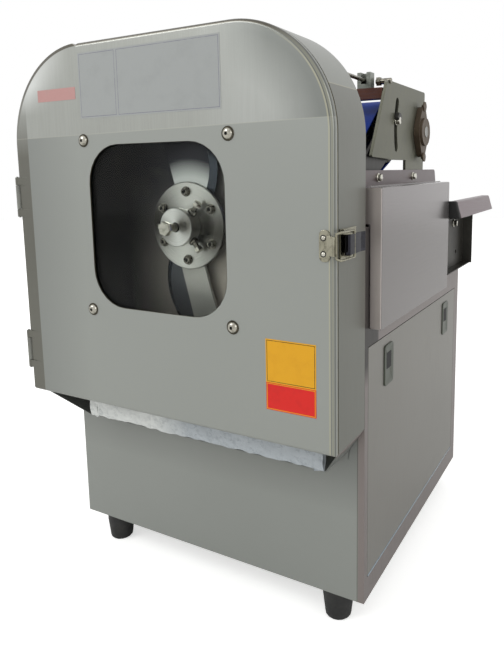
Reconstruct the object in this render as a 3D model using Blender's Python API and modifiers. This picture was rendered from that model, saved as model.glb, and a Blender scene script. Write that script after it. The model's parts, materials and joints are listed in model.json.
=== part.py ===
"""Vegetable cutting machine: a belt-fed sickle-blade cutting head on a sheet-steel cabinet.

Metres, +Z up, X to the right of the door, Y from the door towards the back. The model is built with
the door's face at Y = 0 and moved at the end of its empty, so that the world origin lies on the
ground in the middle of the machine's box.
"""

import math

import bmesh
import bpy
from mathutils import Matrix, Vector

# General clearances
CLEAR = 0.0003            # gap between pieces that touch
RUN = 0.0012              # running gap round turning pieces

# Cabinet
WIDTH = 0.440
CABINET_DEPTH = 0.418
DECK_LEVEL = 0.440        # deck above the cabinet's underside
SHEET = 0.002
FOOT_HEIGHT = 0.040
FOOT_RADIUS = 0.019
FOOT_TIP_RADIUS = 0.016
FOOT_INSET_X = 0.042
FOOT_INSET_Y = 0.022

# Cutting head
HEAD_DEPTH = 0.080        # door face to cabinet face
HEAD_BOTTOM = 0.214       # above the cabinet's underside
HEAD_TOP = 0.648
HEAD_CORNER = 0.115
HEAD_WALL = 0.003
DOOR_SHEET = 0.002
DOOR_RIM = 0.0077
SEAL_THICK = 0.0017
AXIS_LEVEL = 0.435        # cutter shaft above the cabinet's underside
WINDOW_HALF_WIDTH = 0.096
WINDOW_HALF_HEIGHT = 0.095
WINDOW_CORNER = 0.045
PANE_THICK = 0.004
PANE_LAP = 0.014

# Cutter
SHAFT_RADIUS = 0.015
SHAFT_END = HEAD_DEPTH + 0.220
BLADE_FACE = HEAD_DEPTH - 0.0157   # front of the blades, behind the door's face
BLADE_THICK = 0.004
BLADE_REACH = 0.186
HUB_RADIUS = 0.0525
HUB_THICK = 0.004
COLLAR_RADIUS = 0.0200
NOSE_RADIUS = 0.0230
NOSE_FACE = BLADE_FACE - 0.0273
NOSE_THICK = 0.007
BOLT_FLATS = 0.017
STUD_RADIUS = 0.005
HUB_SCREW_CIRCLE = 0.042
HUB_SCREW_RADIUS = 0.003
CARTRIDGE_RADIUS = 0.035
CARTRIDGE_FLANGE = 0.047
CARTRIDGE_LENGTH = 0.150

# Cutter drive
PULLEY_WIDTH = 0.024
SPINDLE_PULLEY_RADIUS = 0.040
MOTOR_PULLEY_RADIUS = 0.030
BELT_THICK = 0.008
MOTOR_LEVEL = 0.112
MOTOR_RADIUS = 0.065
MOTOR_LENGTH = 0.170
MOTOR_SHAFT_RADIUS = 0.0095

# Feed conveyor
CONVEYOR_LEFT = 0.050
CONVEYOR_RIGHT = 0.190
CONVEYOR_WALL = 0.002
TROUGH_TOP = 0.498
TROUGH_END = HEAD_DEPTH + CABINET_DEPTH - 0.048
CONVEYOR_END = HEAD_DEPTH + CABINET_DEPTH + 0.108
CONVEYOR_FLOOR = 0.383
BELT_TOP = 0.431
BELT_SHEET = 0.002
FEED_ROLLER_RADIUS = 0.019
FRONT_ROLLER_Y = HEAD_DEPTH + 0.032
TAIL_ROLLER_Y = CONVEYOR_END - 0.026
ROLLER_SHAFT_RADIUS = 0.006
BELT_MARGIN = 0.006       # belt edge to conveyor wall
SHAFT_PROUD = 0.003       # shaft end past the conveyor wall
HANGER_HALF = 0.022
CHAIN_PITCH = 0.009525
FEED_WHEEL_TEETH = 15
TAIL_WHEEL_TEETH = 9
PIVOT_WHEEL_TEETH = 18     # turns at half the tail roller's speed, so that both belts run alike
SPROCKET_WIDTH = 0.004
CHAIN_THICK = 0.006
GEARMOTOR_Y = HEAD_DEPTH + 0.182
GEARMOTOR_LEVEL = 0.330
GEARMOTOR_RADIUS = 0.032
FEED_CHAIN_LEFT = 0.198
PRESS_CHAIN_LEFT = 0.031

# Press unit above the belt
PIVOT_Y = HEAD_DEPTH + 0.287
PIVOT_LEVEL = 0.552
PIVOT_SHAFT_RADIUS = 0.008
PRESS_PLATE = 0.004
GEAR_PITCH_RADIUS = 0.0405
GEAR_TEETH = 27
PRESS_ROLLER_LEVEL = 0.548
PRESS_ROLLER_RADIUS = 0.040
PRESS_TIP_Y = FRONT_ROLLER_Y + 0.016
PRESS_TIP_LEVEL = 0.460
PRESS_TIP_RADIUS = 0.016
PRESS_BELT_HALF = 0.048
ARM_THICK = 0.004

# Side cover, tray rails and side panels
COVER_FRONT = HEAD_DEPTH + 0.011
COVER_BACK = HEAD_DEPTH + 0.292
COVER_BOTTOM = 0.325
COVER_TOP = 0.480
COVER_PROUD = 0.014
COVER_SHEET = 0.0015
PANEL_FRONT = HEAD_DEPTH + 0.010
PANEL_BACK = HEAD_DEPTH + CABINET_DEPTH - 0.023
PANEL_BOTTOM = 0.028
PANEL_TOP = 0.305
PANEL_SHEET = 0.0015
RAIL_X = 0.2365
RAIL_FRONT = COVER_BACK + 0.008
RAIL_REACH = HEAD_DEPTH + CABINET_DEPTH + 0.114
RAIL_TOP = 0.451
RAIL_HEIGHT = 0.024
RAIL_TOP_WIDTH = 0.014
RAIL_FOOT_WIDTH = 0.028
POCKET_BACK = HEAD_DEPTH + CABINET_DEPTH + 0.019
POCKET_BOTTOM = 0.343
POCKET_TOP = 0.421
SHELF_FRONT = POCKET_BACK - 0.077
SHELF_BACK = POCKET_BACK - 0.041
PAN_HOLE_Y = POCKET_BACK - 0.048
PAN_HOLE_LEVEL = POCKET_BOTTOM + 0.023
POCKET_DEPTH = 0.015

# Latch and controls
LATCH_LEVEL = 0.427
LATCH_HALF = 0.0155
KEEPER_PROUD = 0.004
KEEPER_HOOK = 0.010
SWITCH_FRONT = HEAD_DEPTH + 0.040
SWITCH_BACK = SWITCH_FRONT + 0.080
SWITCH_EDGE = 0.024       # button's centre to the plate's end
SWITCH_LOW = FOOT_HEIGHT + 0.350
SWITCH_HIGH = FOOT_HEIGHT + 0.400
BUTTON_RADIUS = 0.011
BUTTON_TRAVEL = 0.004

HALF = WIDTH / 2
CABINET_BACK = HEAD_DEPTH + CABINET_DEPTH
DECK = FOOT_HEIGHT + DECK_LEVEL
AXIS = FOOT_HEIGHT + AXIS_LEVEL
HEAD_LOW = FOOT_HEIGHT + HEAD_BOTTOM
HEAD_HIGH = FOOT_HEIGHT + HEAD_TOP
SEAL_FRONT = DOOR_RIM + CLEAR
HEAD_FRONT = SEAL_FRONT + SEAL_THICK + CLEAR
MIDDLE_Y = (RAIL_REACH - KEEPER_PROUD) / 2
WINDOW_LEVEL = AXIS + 0.001
FEED_LEVEL = FOOT_HEIGHT + BELT_TOP - BELT_SHEET - FEED_ROLLER_RADIUS
PIVOT = Vector((0, PIVOT_Y, FOOT_HEIGHT + PIVOT_LEVEL))
PRESS_AXIS = Vector((0, PIVOT_Y - 2 * GEAR_PITCH_RADIUS, FOOT_HEIGHT + PRESS_ROLLER_LEVEL))
PRESS_TIP = Vector((0, PRESS_TIP_Y, FOOT_HEIGHT + PRESS_TIP_LEVEL))
FEED_MIDDLE = (CONVEYOR_LEFT + CONVEYOR_RIGHT) / 2
FEED_HALF = (CONVEYOR_RIGHT - CONVEYOR_LEFT) / 2 - CONVEYOR_WALL

PLANES = {
    "XY": Matrix.Identity(4),
    "XZ": Matrix(((1, 0, 0, 0), (0, 0, -1, 0), (0, 1, 0, 0), (0, 0, 0, 1))),
    "YZ": Matrix(((0, 0, 1, 0), (1, 0, 0, 0), (0, 1, 0, 0), (0, 0, 0, 1))),
}
NORMALS = {"XY": Vector((0, 0, 1)), "XZ": Vector((0, 1, 0)), "YZ": Vector((1, 0, 0))}
TURNS = {"X": (0, math.pi / 2, 0), "Y": (-math.pi / 2, 0, 0), "Z": (0, 0, 0)}


def clear_scene():
    for item in list(bpy.data.objects):
        bpy.data.objects.remove(item)


clear_scene()
PARTS = bpy.data.collections.new("vegetable_cutting_machine")
CUTTERS = bpy.data.collections.new("cutters")
bpy.context.scene.collection.children.link(PARTS)
bpy.context.scene.collection.children.link(CUTTERS)


def make_look(name, colour, roughness, metallic=0.0, alpha=1.0):
    look = bpy.data.materials.new(name)
    look.use_nodes = True
    shader = look.node_tree.nodes["Principled BSDF"]
    shader.inputs["Base Color"].default_value = (*colour, 1.0)
    shader.inputs["Roughness"].default_value = roughness
    shader.inputs["Metallic"].default_value = metallic
    shader.inputs["Alpha"].default_value = alpha
    return look


STEEL = make_look("brushed_stainless", (0.31, 0.33, 0.31), 0.38, 1.0)
DARK_STEEL = make_look("machined_steel", (0.20, 0.20, 0.19), 0.35, 1.0)
BRIGHT = make_look("bright_fasteners", (0.55, 0.55, 0.53), 0.25, 1.0)
BLADE_STEEL = make_look("blade_steel", (0.42, 0.45, 0.50), 0.22, 1.0)
RUBBER = make_look("black_rubber", (0.012, 0.012, 0.012), 0.8)
BLUE_BELT = make_look("blue_belt", (0.005, 0.034, 0.27), 0.5)
WHITE_BELT = make_look("white_belt", (0.70, 0.71, 0.69), 0.5)
CLEAR_PANE = make_look("clear_pane", (0.75, 0.80, 0.78), 0.06, 0.0, 0.25)
FILM = make_look("wrapping_film", (0.48, 0.58, 0.60), 0.3)
SEAL = make_look("seal", (0.34, 0.29, 0.20), 0.6)
CAST = make_look("cast_motor", (0.10, 0.13, 0.15), 0.5, 0.6)
GREEN = make_look("green_button", (0.02, 0.30, 0.06), 0.4)
RED = make_look("red_button", (0.55, 0.02, 0.02), 0.4)
PALE = make_look("pale_plastic", (0.55, 0.55, 0.52), 0.5)

machine = bpy.data.objects.new("machine_middle", None)
machine.location = (0, -MIDDLE_Y, 0)
PARTS.objects.link(machine)


def pivot_empty(name, location, parent=None):
    """An empty on a joint's axis, in the machine's coordinates."""
    holder = bpy.data.objects.new(name, None)
    base = machine if parent is None else parent
    offset = Vector((0, 0, 0)) if parent is None else parent["place"]
    holder.parent = base
    holder.location = Vector(location) - Vector(offset)
    holder["place"] = list(location)
    PARTS.objects.link(holder)
    return holder


def add_object(name, mesh, look, place, turn=(0, 0, 0), parent=None, cutter=False):
    """Links a mesh as a part, or as a hidden cutter, at a place in the machine's coordinates."""
    item = bpy.data.objects.new(name, mesh)
    mesh.materials.clear()
    mesh.materials.append(look)
    item.parent = machine if parent is None else parent
    offset = Vector((0, 0, 0)) if parent is None else Vector(parent["place"])
    item.location = Vector(place) - offset
    item.rotation_euler = turn
    if cutter:
        CUTTERS.objects.link(item)
        item.hide_render = True
        item.display_type = "WIRE"
    else:
        PARTS.objects.link(item)
    return item


def shade(mesh, angle=0.6):
    mesh.shade_smooth()
    mesh.set_sharp_from_angle(angle=angle)


def mesh_from(bm, name, smooth=False):
    mesh = bpy.data.meshes.new(name)
    bmesh.ops.recalc_face_normals(bm, faces=bm.faces)
    bm.to_mesh(mesh)
    bm.free()
    if smooth:
        shade(mesh)
    return mesh


def add_box(bm, low, high):
    low = Vector(low)
    high = Vector(high)
    size = high - low
    place = Matrix.Translation((low + high) / 2) @ Matrix.Diagonal((*size, 1.0))
    return bmesh.ops.create_cube(bm, size=1.0, matrix=place)["verts"]


def box(name, low, high, look, parent=None, cutter=False, bevel=0.0):
    """A block between two corners; its edges are rounded where a bevel is given."""
    middle = (Vector(low) + Vector(high)) / 2
    bm = bmesh.new()
    add_box(bm, Vector(low) - middle, Vector(high) - middle)
    item = add_object(name, mesh_from(bm, name), look, middle, parent=parent, cutter=cutter)
    if bevel > 0:
        rounding = item.modifiers.new("edges", "BEVEL")
        rounding.width = bevel
        rounding.segments = 2
    return item


def add_rod(bm, start, end, radius, sides=20, end_radius=None):
    start = Vector(start)
    end = Vector(end)
    along = end - start
    turn = along.to_track_quat("Z", "Y").to_matrix().to_4x4()
    place = Matrix.Translation((start + end) / 2) @ turn
    top = radius if end_radius is None else end_radius
    bmesh.ops.create_cone(bm, cap_ends=True, segments=sides, radius1=radius, radius2=top,
                          depth=along.length, matrix=place)


def rod(name, start, end, radius, look, sides=20, parent=None, cutter=False, end_radius=None):
    middle = (Vector(start) + Vector(end)) / 2
    bm = bmesh.new()
    add_rod(bm, Vector(start) - middle, Vector(end) - middle, radius, sides, end_radius)
    mesh = mesh_from(bm, name, smooth=True)
    return add_object(name, mesh, look, middle, parent=parent, cutter=cutter)


def turned(name, profile, place, axis, look, steps=28, parent=None, cutter=False):
    """A turned solid: the profile (radius, height along the axis) runs down the outer side."""
    mesh = bpy.data.meshes.new(name)
    closed = profile[0][0] > 0
    edges = [(i, i + 1) for i in range(len(profile) - 1)]
    if closed:
        edges.append((len(profile) - 1, 0))
    mesh.from_pydata([(r, 0, h) for r, h in profile], edges, [])
    item = add_object(name, mesh, look, place, TURNS[axis], parent=parent, cutter=cutter)
    screw = item.modifiers.new("turn", "SCREW")
    screw.steps = steps
    screw.render_steps = steps
    screw.use_merge_vertices = True
    screw.merge_threshold = 0.00002
    screw.use_smooth_shade = False
    return item


def arc(u, v, radius, start, end, steps):
    """Points of an arc, with the angles in degrees."""
    points = []
    for i in range(steps + 1):
        angle = math.radians(start + (end - start) * i / steps)
        points.append((u + radius * math.cos(angle), v + radius * math.sin(angle)))
    return points


def circle(u, v, radius, steps=20):
    return arc(u, v, radius, 0, 360, steps)[:-1]


def fillets(corners, steps=5):
    """A closed outline whose corners (u, v, radius) are rounded."""
    points = []
    count = len(corners)
    for i, (u, v, radius) in enumerate(corners):
        here = Vector((u, v))
        before = (Vector(corners[i - 1][:2]) - here).normalized()
        after = (Vector(corners[(i + 1) % count][:2]) - here).normalized()
        if radius <= 0:
            points.append((u, v))
            continue
        half = before.angle(after) / 2
        reach = radius / math.tan(half)
        first = here + before * reach
        last = here + after * reach
        centre = here + (before + after).normalized() * radius / math.sin(half)
        begin = first - centre
        sweep = begin.angle_signed(last - centre)
        for k in range(steps + 1):
            spin = -sweep * k / steps
            cos, sin = math.cos(spin), math.sin(spin)
            points.append((centre.x + begin.x * cos - begin.y * sin,
                           centre.y + begin.x * sin + begin.y * cos))
    return points


def rectangle(u0, v0, u1, v1, radius=0.0, steps=5):
    return fillets([(u0, v0, radius), (u1, v0, radius), (u1, v1, radius), (u0, v1, radius)], steps)


def cut_out(name, plane, loops, near, far, look, parent=None, cutter=False, smooth=True):
    """A flat outline with its holes, drawn as a filled curve and extruded between two depths."""
    curve = bpy.data.curves.new(name, "CURVE")
    curve.dimensions = "2D"
    curve.fill_mode = "BOTH"
    curve.extrude = abs(far - near) / 2
    for loop in loops:
        spline = curve.splines.new("POLY")
        spline.points.add(len(loop) - 1)
        for point, (u, v) in zip(spline.points, loop):
            point.co = (u, v, 0, 1)
        spline.use_cyclic_u = True
    drawn = bpy.data.objects.new(name + "_outline", curve)
    bpy.context.scene.collection.objects.link(drawn)
    graph = bpy.context.evaluated_depsgraph_get()
    mesh = bpy.data.meshes.new_from_object(drawn.evaluated_get(graph))
    bpy.data.objects.remove(drawn)
    bm = bmesh.new()
    bm.from_mesh(mesh)
    bpy.data.meshes.remove(mesh)
    bmesh.ops.remove_doubles(bm, verts=bm.verts, dist=0.00001)
    bmesh.ops.dissolve_limit(bm, angle_limit=0.001, verts=bm.verts, edges=bm.edges)
    bmesh.ops.transform(bm, matrix=PLANES[plane], verts=bm.verts)
    place = NORMALS[plane] * (near + far) / 2
    mesh = mesh_from(bm, name, smooth)
    return add_object(name, mesh, look, place, parent=parent, cutter=cutter)


def boolean(target, tools, operation="DIFFERENCE"):
    for number, tool in enumerate(tools):
        step = target.modifiers.new(f"{operation.lower()}_{number}", "BOOLEAN")
        step.operation = operation
        step.object = tool
        step.solver = "EXACT"
    return target


def hexagon_ring(flats, count=12):
    """Twelve points round a hexagon: its corners and the middles of its sides."""
    ring = []
    for i in range(count):
        angle = math.radians(30 * i)
        reach = flats / 2 if i % 2 else flats / (2 * math.cos(math.radians(30)))
        ring.append((reach * math.cos(angle), reach * math.sin(angle)))
    return ring


def round_ring(radius, count=12):
    return [(radius * math.cos(2 * math.pi * i / count), radius * math.sin(2 * math.pi * i / count))
            for i in range(count)]


def add_rings(bm, rings, place):
    """A closed solid lofted through rings of equal count, each given as (points, height)."""
    rows = []
    for points, height in rings:
        rows.append([bm.verts.new(place @ Vector((u, v, height))) for u, v in points])
    count = len(rows[0])
    for lower, upper in zip(rows, rows[1:]):
        for i in range(count):
            j = (i + 1) % count
            bm.faces.new((lower[i], lower[j], upper[j], upper[i]))
    bm.faces.new(list(reversed(rows[0])))
    bm.faces.new(rows[-1])


def add_bolt(bm, place, flats, head, radius, length):
    """A hexagon bolt: the head stands on the local XY plane and the shank goes down -Z."""
    rings = [(round_ring(radius), -length), (round_ring(radius), 0), (hexagon_ring(flats), 0),
             (hexagon_ring(flats), head * 0.8), (round_ring(flats * 0.46), head)]
    add_rings(bm, rings, place)


def facing(place, direction):
    """A matrix at a place whose +Z points in a direction."""
    turn = Vector(direction).to_track_quat("Z", "Y").to_matrix().to_4x4()
    return Matrix.Translation(place) @ turn


def head_outline(inset=0.0, steps=9):
    """The arched outline of the head and door, seen from the front."""
    side = HALF - inset
    corner = HEAD_CORNER - inset
    return fillets([(-side, HEAD_LOW + inset, 0.0), (side, HEAD_LOW + inset, 0.0),
                    (side, HEAD_HIGH - inset, corner), (-side, HEAD_HIGH - inset, corner)], steps)


# Cabinet

PANEL_LAP = 0.008
PANEL_INSET = 0.0125
NOTCH_LOW = FOOT_HEIGHT + CONVEYOR_FLOOR - 0.004
WALL_TOP = DECK - SHEET - CLEAR


def cabinet_shell():
    """Folded shell: base, four walls, joggled side openings and the notches for the feed belt."""
    shell = box("cabinet_shell", (-HALF, HEAD_DEPTH, FOOT_HEIGHT), (HALF, CABINET_BACK, WALL_TOP), STEEL)
    tools = [box("cabinet_inside", (-HALF + SHEET, HEAD_DEPTH + SHEET, FOOT_HEIGHT + SHEET),
                 (HALF - SHEET, CABINET_BACK - SHEET, WALL_TOP + SHEET), STEEL, cutter=True)]
    boolean(shell, tools)
    frames = []
    recesses = []
    for side, label in ((-1, "left"), (1, "right")):
        outer = side * (HALF - 0.0005)
        inner = side * (HALF - PANEL_INSET - SHEET)
        low = FOOT_HEIGHT + PANEL_BOTTOM - SHEET
        frames.append(box(f"{label}_joggle", (min(outer, inner), PANEL_FRONT - SHEET, low),
                          (max(outer, inner), PANEL_BACK + SHEET, FOOT_HEIGHT + PANEL_TOP + SHEET),
                          STEEL, cutter=True))
        face = side * (HALF + SHEET)
        seat = side * (HALF - PANEL_INSET)
        recesses.append(box(f"{label}_recess", (min(face, seat), PANEL_FRONT, FOOT_HEIGHT + PANEL_BOTTOM),
                            (max(face, seat), PANEL_BACK, FOOT_HEIGHT + PANEL_TOP), STEEL, cutter=True))
        deep = side * (HALF - PANEL_INSET - 2 * SHEET)
        recesses.append(box(f"{label}_way_in", (min(face, deep), PANEL_FRONT + PANEL_LAP,
                                                FOOT_HEIGHT + PANEL_BOTTOM + PANEL_LAP),
                            (max(face, deep), PANEL_BACK - PANEL_LAP, FOOT_HEIGHT + PANEL_TOP - PANEL_LAP),
                            STEEL, cutter=True))
    boolean(shell, frames, "UNION")
    boolean(shell, recesses)
    flanges = []
    for number, (y0, y1) in enumerate(((HEAD_DEPTH, COVER_FRONT), (COVER_BACK, CABINET_BACK))):
        flanges.append(box(f"right_deck_flange_{number}", (CONVEYOR_RIGHT + 2 * CLEAR, y0, WALL_TOP - SHEET),
                           (HALF, y1, WALL_TOP + 0.0001), STEEL, cutter=True))
    boolean(shell, flanges, "UNION")
    past = 0.010
    cuts = [
        box("switch_window", (-HALF - past, SWITCH_FRONT + 0.008, SWITCH_LOW + 0.008),
            (-HALF + past, SWITCH_BACK - 0.008, SWITCH_HIGH - 0.008), STEEL, cutter=True),
        box("front_notch", (-CARTRIDGE_FLANGE - CLEAR, HEAD_DEPTH - past, AXIS - CARTRIDGE_FLANGE - CLEAR),
            (CARTRIDGE_FLANGE + 0.001, HEAD_DEPTH + past, DECK + past), STEEL, cutter=True),
        box("front_feed_notch", (CONVEYOR_LEFT - 2 * CLEAR - 0.003, HEAD_DEPTH - past, NOTCH_LOW),
            (CONVEYOR_RIGHT + 2 * CLEAR, HEAD_DEPTH + past, DECK + past), STEEL, cutter=True),
        box("back_feed_notch", (PRESS_CHAIN_LEFT - 0.006, CABINET_BACK - past, NOTCH_LOW),
            (CONVEYOR_RIGHT + 2 * CLEAR, CABINET_BACK + past, DECK + past), STEEL, cutter=True),
        box("chain_window", (HALF - past, COVER_FRONT + 0.014, FOOT_HEIGHT + COVER_BOTTOM + 0.014),
            (HALF + past, COVER_BACK - 0.014, WALL_TOP - 0.012), STEEL, cutter=True),
        box("back_window", (-0.150, CABINET_BACK - past, FOOT_HEIGHT + 0.060),
            (0.150, CABINET_BACK + past, FOOT_HEIGHT + 0.300), STEEL, cutter=True),
    ]
    bm = bmesh.new()
    for row in range(5):
        middle_y = HEAD_DEPTH + 0.300 + row * 0.022
        add_box(bm, (-0.060, middle_y - 0.004, FOOT_HEIGHT - past),
                (0.060, middle_y + 0.004, FOOT_HEIGHT + past))
    cuts.append(add_object("base_slots", mesh_from(bm, "base_slots"), STEEL, (0, 0, 0), cutter=True))
    boolean(shell, cuts)


def deck_left():
    """Folded deck plate left of the feed trough, notched round the drive hood."""
    gap = CONVEYOR_LEFT - 2 * CLEAR
    slot = PRESS_CHAIN_LEFT - 0.006
    outline = [(-HALF, HEAD_DEPTH), (-HOOD_REACH, HEAD_DEPTH), (-HOOD_REACH, HOOD_BACK),
               (gap, HOOD_BACK), (gap, CABINET_BACK - 0.036), (slot, CABINET_BACK - 0.036),
               (slot, CABINET_BACK), (-HALF, CABINET_BACK)]
    cut_out("deck_left", "XY", [outline], DECK - SHEET, DECK, STEEL)


HOOD_REACH = 0.052
HOOD_BACK = HEAD_DEPTH + 0.242
HOOD_TOP = 0.494
HOOD_SHEET = 0.0015


def drive_cover():
    """Bent hood over the spindle cartridge and pulley, on the deck left of the trough."""
    right = CONVEYOR_LEFT - 2 * CLEAR
    low = (-HOOD_REACH - 0.010, HEAD_DEPTH + CLEAR, DECK + CLEAR)
    high = (right, HOOD_BACK + 0.010, FOOT_HEIGHT + HOOD_TOP)
    hood = box("drive_cover", low, high, STEEL, bevel=0.003)
    inside = box("drive_cover_inside", (low[0] + HOOD_SHEET, low[1] - 0.010, low[2] - 0.010),
                 (high[0] - HOOD_SHEET, high[1] - HOOD_SHEET, high[2] - HOOD_SHEET), STEEL, cutter=True)
    bm = bmesh.new()
    for row in range(6):
        middle_y = HEAD_DEPTH + 0.060 + row * 0.028
        add_box(bm, (-HOOD_REACH - 0.020, middle_y - 0.010, DECK + 0.020),
                (-HOOD_REACH - 0.004, middle_y + 0.010, DECK + 0.024))
    slots = add_object("hood_slots", mesh_from(bm, "hood_slots"), STEEL, (0, 0, 0), cutter=True)
    boolean(hood, [inside, slots])


def feet():
    """Four tapered rubber feet under the base."""
    top = FOOT_HEIGHT - CLEAR
    profile = [(0, top), (FOOT_RADIUS, top), (FOOT_RADIUS, top * 0.7), (FOOT_TIP_RADIUS, 0.002),
               (FOOT_TIP_RADIUS - 0.002, 0), (0, 0)]
    for across, x in (("left", -HALF + FOOT_INSET_X), ("right", HALF - FOOT_INSET_X)):
        for along, y in (("front", HEAD_DEPTH + FOOT_INSET_Y), ("back", CABINET_BACK - FOOT_INSET_Y)):
            turned(f"foot_{along}_{across}", profile, (x, y, 0), "Z", RUBBER, 16)


PULL_WIDE = 0.044
PULL_HIGH = 0.058
PULL_LEVEL = 0.270
PULL_YS = (PANEL_FRONT + 0.065, PANEL_BACK - 0.061)
PULL_CUP_WIDE = 0.032
PULL_CUP_HIGH = 0.044
PULL_MOUTH = 0.025
PULL_DEEP = 0.010
PULL_PLATE = 0.0012


def span(side, near, far):
    """The low and high X of a stretch that is given outwards from the middle."""
    return sorted((side * near, side * far))


def side_panel(side, label):
    """A lift-off tray panel in the joggled opening, with two flush pulls riveted in."""
    fit = 0.0008
    low_y, high_y = PANEL_FRONT + fit, PANEL_BACK - fit
    low_z, high_z = FOOT_HEIGHT + PANEL_BOTTOM + fit, FOOT_HEIGHT + PANEL_TOP - fit
    slide = pivot_empty(f"{label}_panel_slide", (side * HALF, (low_y + high_y) / 2, (low_z + high_z) / 2))

    def part_box(name, near, far, y0, y1, z0, z1, cutter=True):
        low, high = span(side, near, far)
        return box(f"{label}_{name}", (low, y0, z0), (high, y1, z1), STEEL, parent=slide, cutter=cutter)

    panel = part_box("panel", HALF - PANEL_INSET + CLEAR, HALF, low_y, high_y, low_z, high_z, False)
    hollow = part_box("hollow", HALF - 0.030, HALF - PANEL_SHEET, low_y + PANEL_SHEET, high_y - PANEL_SHEET,
                      low_z + PANEL_SHEET, high_z - PANEL_SHEET)
    boolean(panel, [hollow])
    cups = []
    mouths = []
    level = FOOT_HEIGHT + PULL_LEVEL
    half_cup = PULL_CUP_HIGH / 2
    for number, y in enumerate(PULL_YS):
        cups.append(part_box(f"pull_plate_{number}", HALF - 0.0005, HALF + PULL_PLATE, y - PULL_WIDE / 2,
                             y + PULL_WIDE / 2, level - PULL_HIGH / 2, level + PULL_HIGH / 2))
        cups.append(part_box(f"pull_cup_{number}", HALF - PULL_DEEP, HALF - 0.0002, y - PULL_CUP_WIDE / 2,
                             y + PULL_CUP_WIDE / 2, level - half_cup, level + half_cup))
        top = level + half_cup - 0.003
        floor = HALF - PULL_DEEP + PULL_PLATE
        mouths.append(part_box(f"mouth_{number}", floor, HALF + 0.010, y - PULL_MOUTH / 2,
                               y + PULL_MOUTH / 2, top - PULL_MOUTH, top))
        mouths.append(part_box(f"undercut_{number}", floor, HALF - 0.003, y - PULL_MOUTH / 2 - 0.0015,
                               y + PULL_MOUTH / 2 + 0.0015, top - PULL_MOUTH - 0.010, top + 0.001))
    boolean(panel, cups, "UNION")
    boolean(panel, mouths)


GLAND_X = -0.125
GLAND_LEVEL = 0.075


def rear_panel():
    """Screwed service cover over the back window, with air slots and a cable gland."""
    near = CABINET_BACK + CLEAR
    far = near + PANEL_SHEET
    loops = [rectangle(-0.165, FOOT_HEIGHT + 0.045, 0.165, FOOT_HEIGHT + 0.315, 0.004, 3)]
    for row in range(6):
        z = FOOT_HEIGHT + 0.130 + row * 0.018
        loops.append(rectangle(-0.060, z - 0.003, 0.060, z + 0.003, 0.0029, 2))
    panel = cut_out("rear_panel", "XZ", loops, near, far, STEEL)
    z = FOOT_HEIGHT + GLAND_LEVEL
    nut = rod("gland_nut", (GLAND_X, near - 0.008, z), (GLAND_X, far + 0.012, z), 0.011, RUBBER, 6,
              cutter=True)
    dome = rod("gland_dome", (GLAND_X, far + 0.010, z), (GLAND_X, far + 0.022, z), 0.0095, RUBBER, 12,
               cutter=True, end_radius=0.007)
    bore = rod("gland_bore", (GLAND_X, near - 0.020, z), (GLAND_X, far + 0.040, z), 0.0045, RUBBER, 10,
               cutter=True)
    boolean(panel, [nut, dome], "UNION")
    boolean(panel, [bore])


# Head, door and window

def cutter_housing():
    """Arched housing with a back plate, open to the door, the chute and the feed belt."""
    back = HEAD_DEPTH - CLEAR
    housing = cut_out("cutter_housing", "XZ", [head_outline()], HEAD_FRONT, back, STEEL)
    inside = cut_out("housing_inside", "XZ", [head_outline(HEAD_WALL)], HEAD_FRONT - 0.010,
                     back - HEAD_WALL, STEEL, cutter=True)
    drop = box("housing_drop", (-CHUTE_TOP_HALF, HEAD_FRONT + 0.008, HEAD_LOW - 0.010),
               (CHUTE_TOP_HALF, back - HEAD_WALL, HEAD_LOW + 0.010), STEEL, cutter=True)
    mouth = box("feed_mouth", (CONVEYOR_LEFT + CONVEYOR_WALL + 0.002, HEAD_DEPTH - 0.010,
                               FOOT_HEIGHT + BELT_TOP + 0.0005),
                (CONVEYOR_RIGHT - CONVEYOR_WALL - 0.002, HEAD_DEPTH + 0.010,
                 FOOT_HEIGHT + TROUGH_TOP - 0.003), STEEL, cutter=True)
    bore = rod("housing_bore", (0, HEAD_DEPTH - 0.010, AXIS), (0, HEAD_DEPTH + 0.010, AXIS),
               SHAFT_RADIUS + RUN, STEEL, 28, cutter=True)
    boolean(housing, [inside, drop, mouth, bore])


CHUTE_TOP_HALF = 0.200
CHUTE_LIP_HALF = 0.182
CHUTE_LIP_Y = 0.059
CHUTE_LIP_LEVEL = 0.164
CHUTE_BACK_LEVEL = 0.188
CHUTE_SHEET = 0.0015
CHUTE_BACK_Y = HEAD_DEPTH - CLEAR - CHUTE_SHEET / 2


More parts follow.
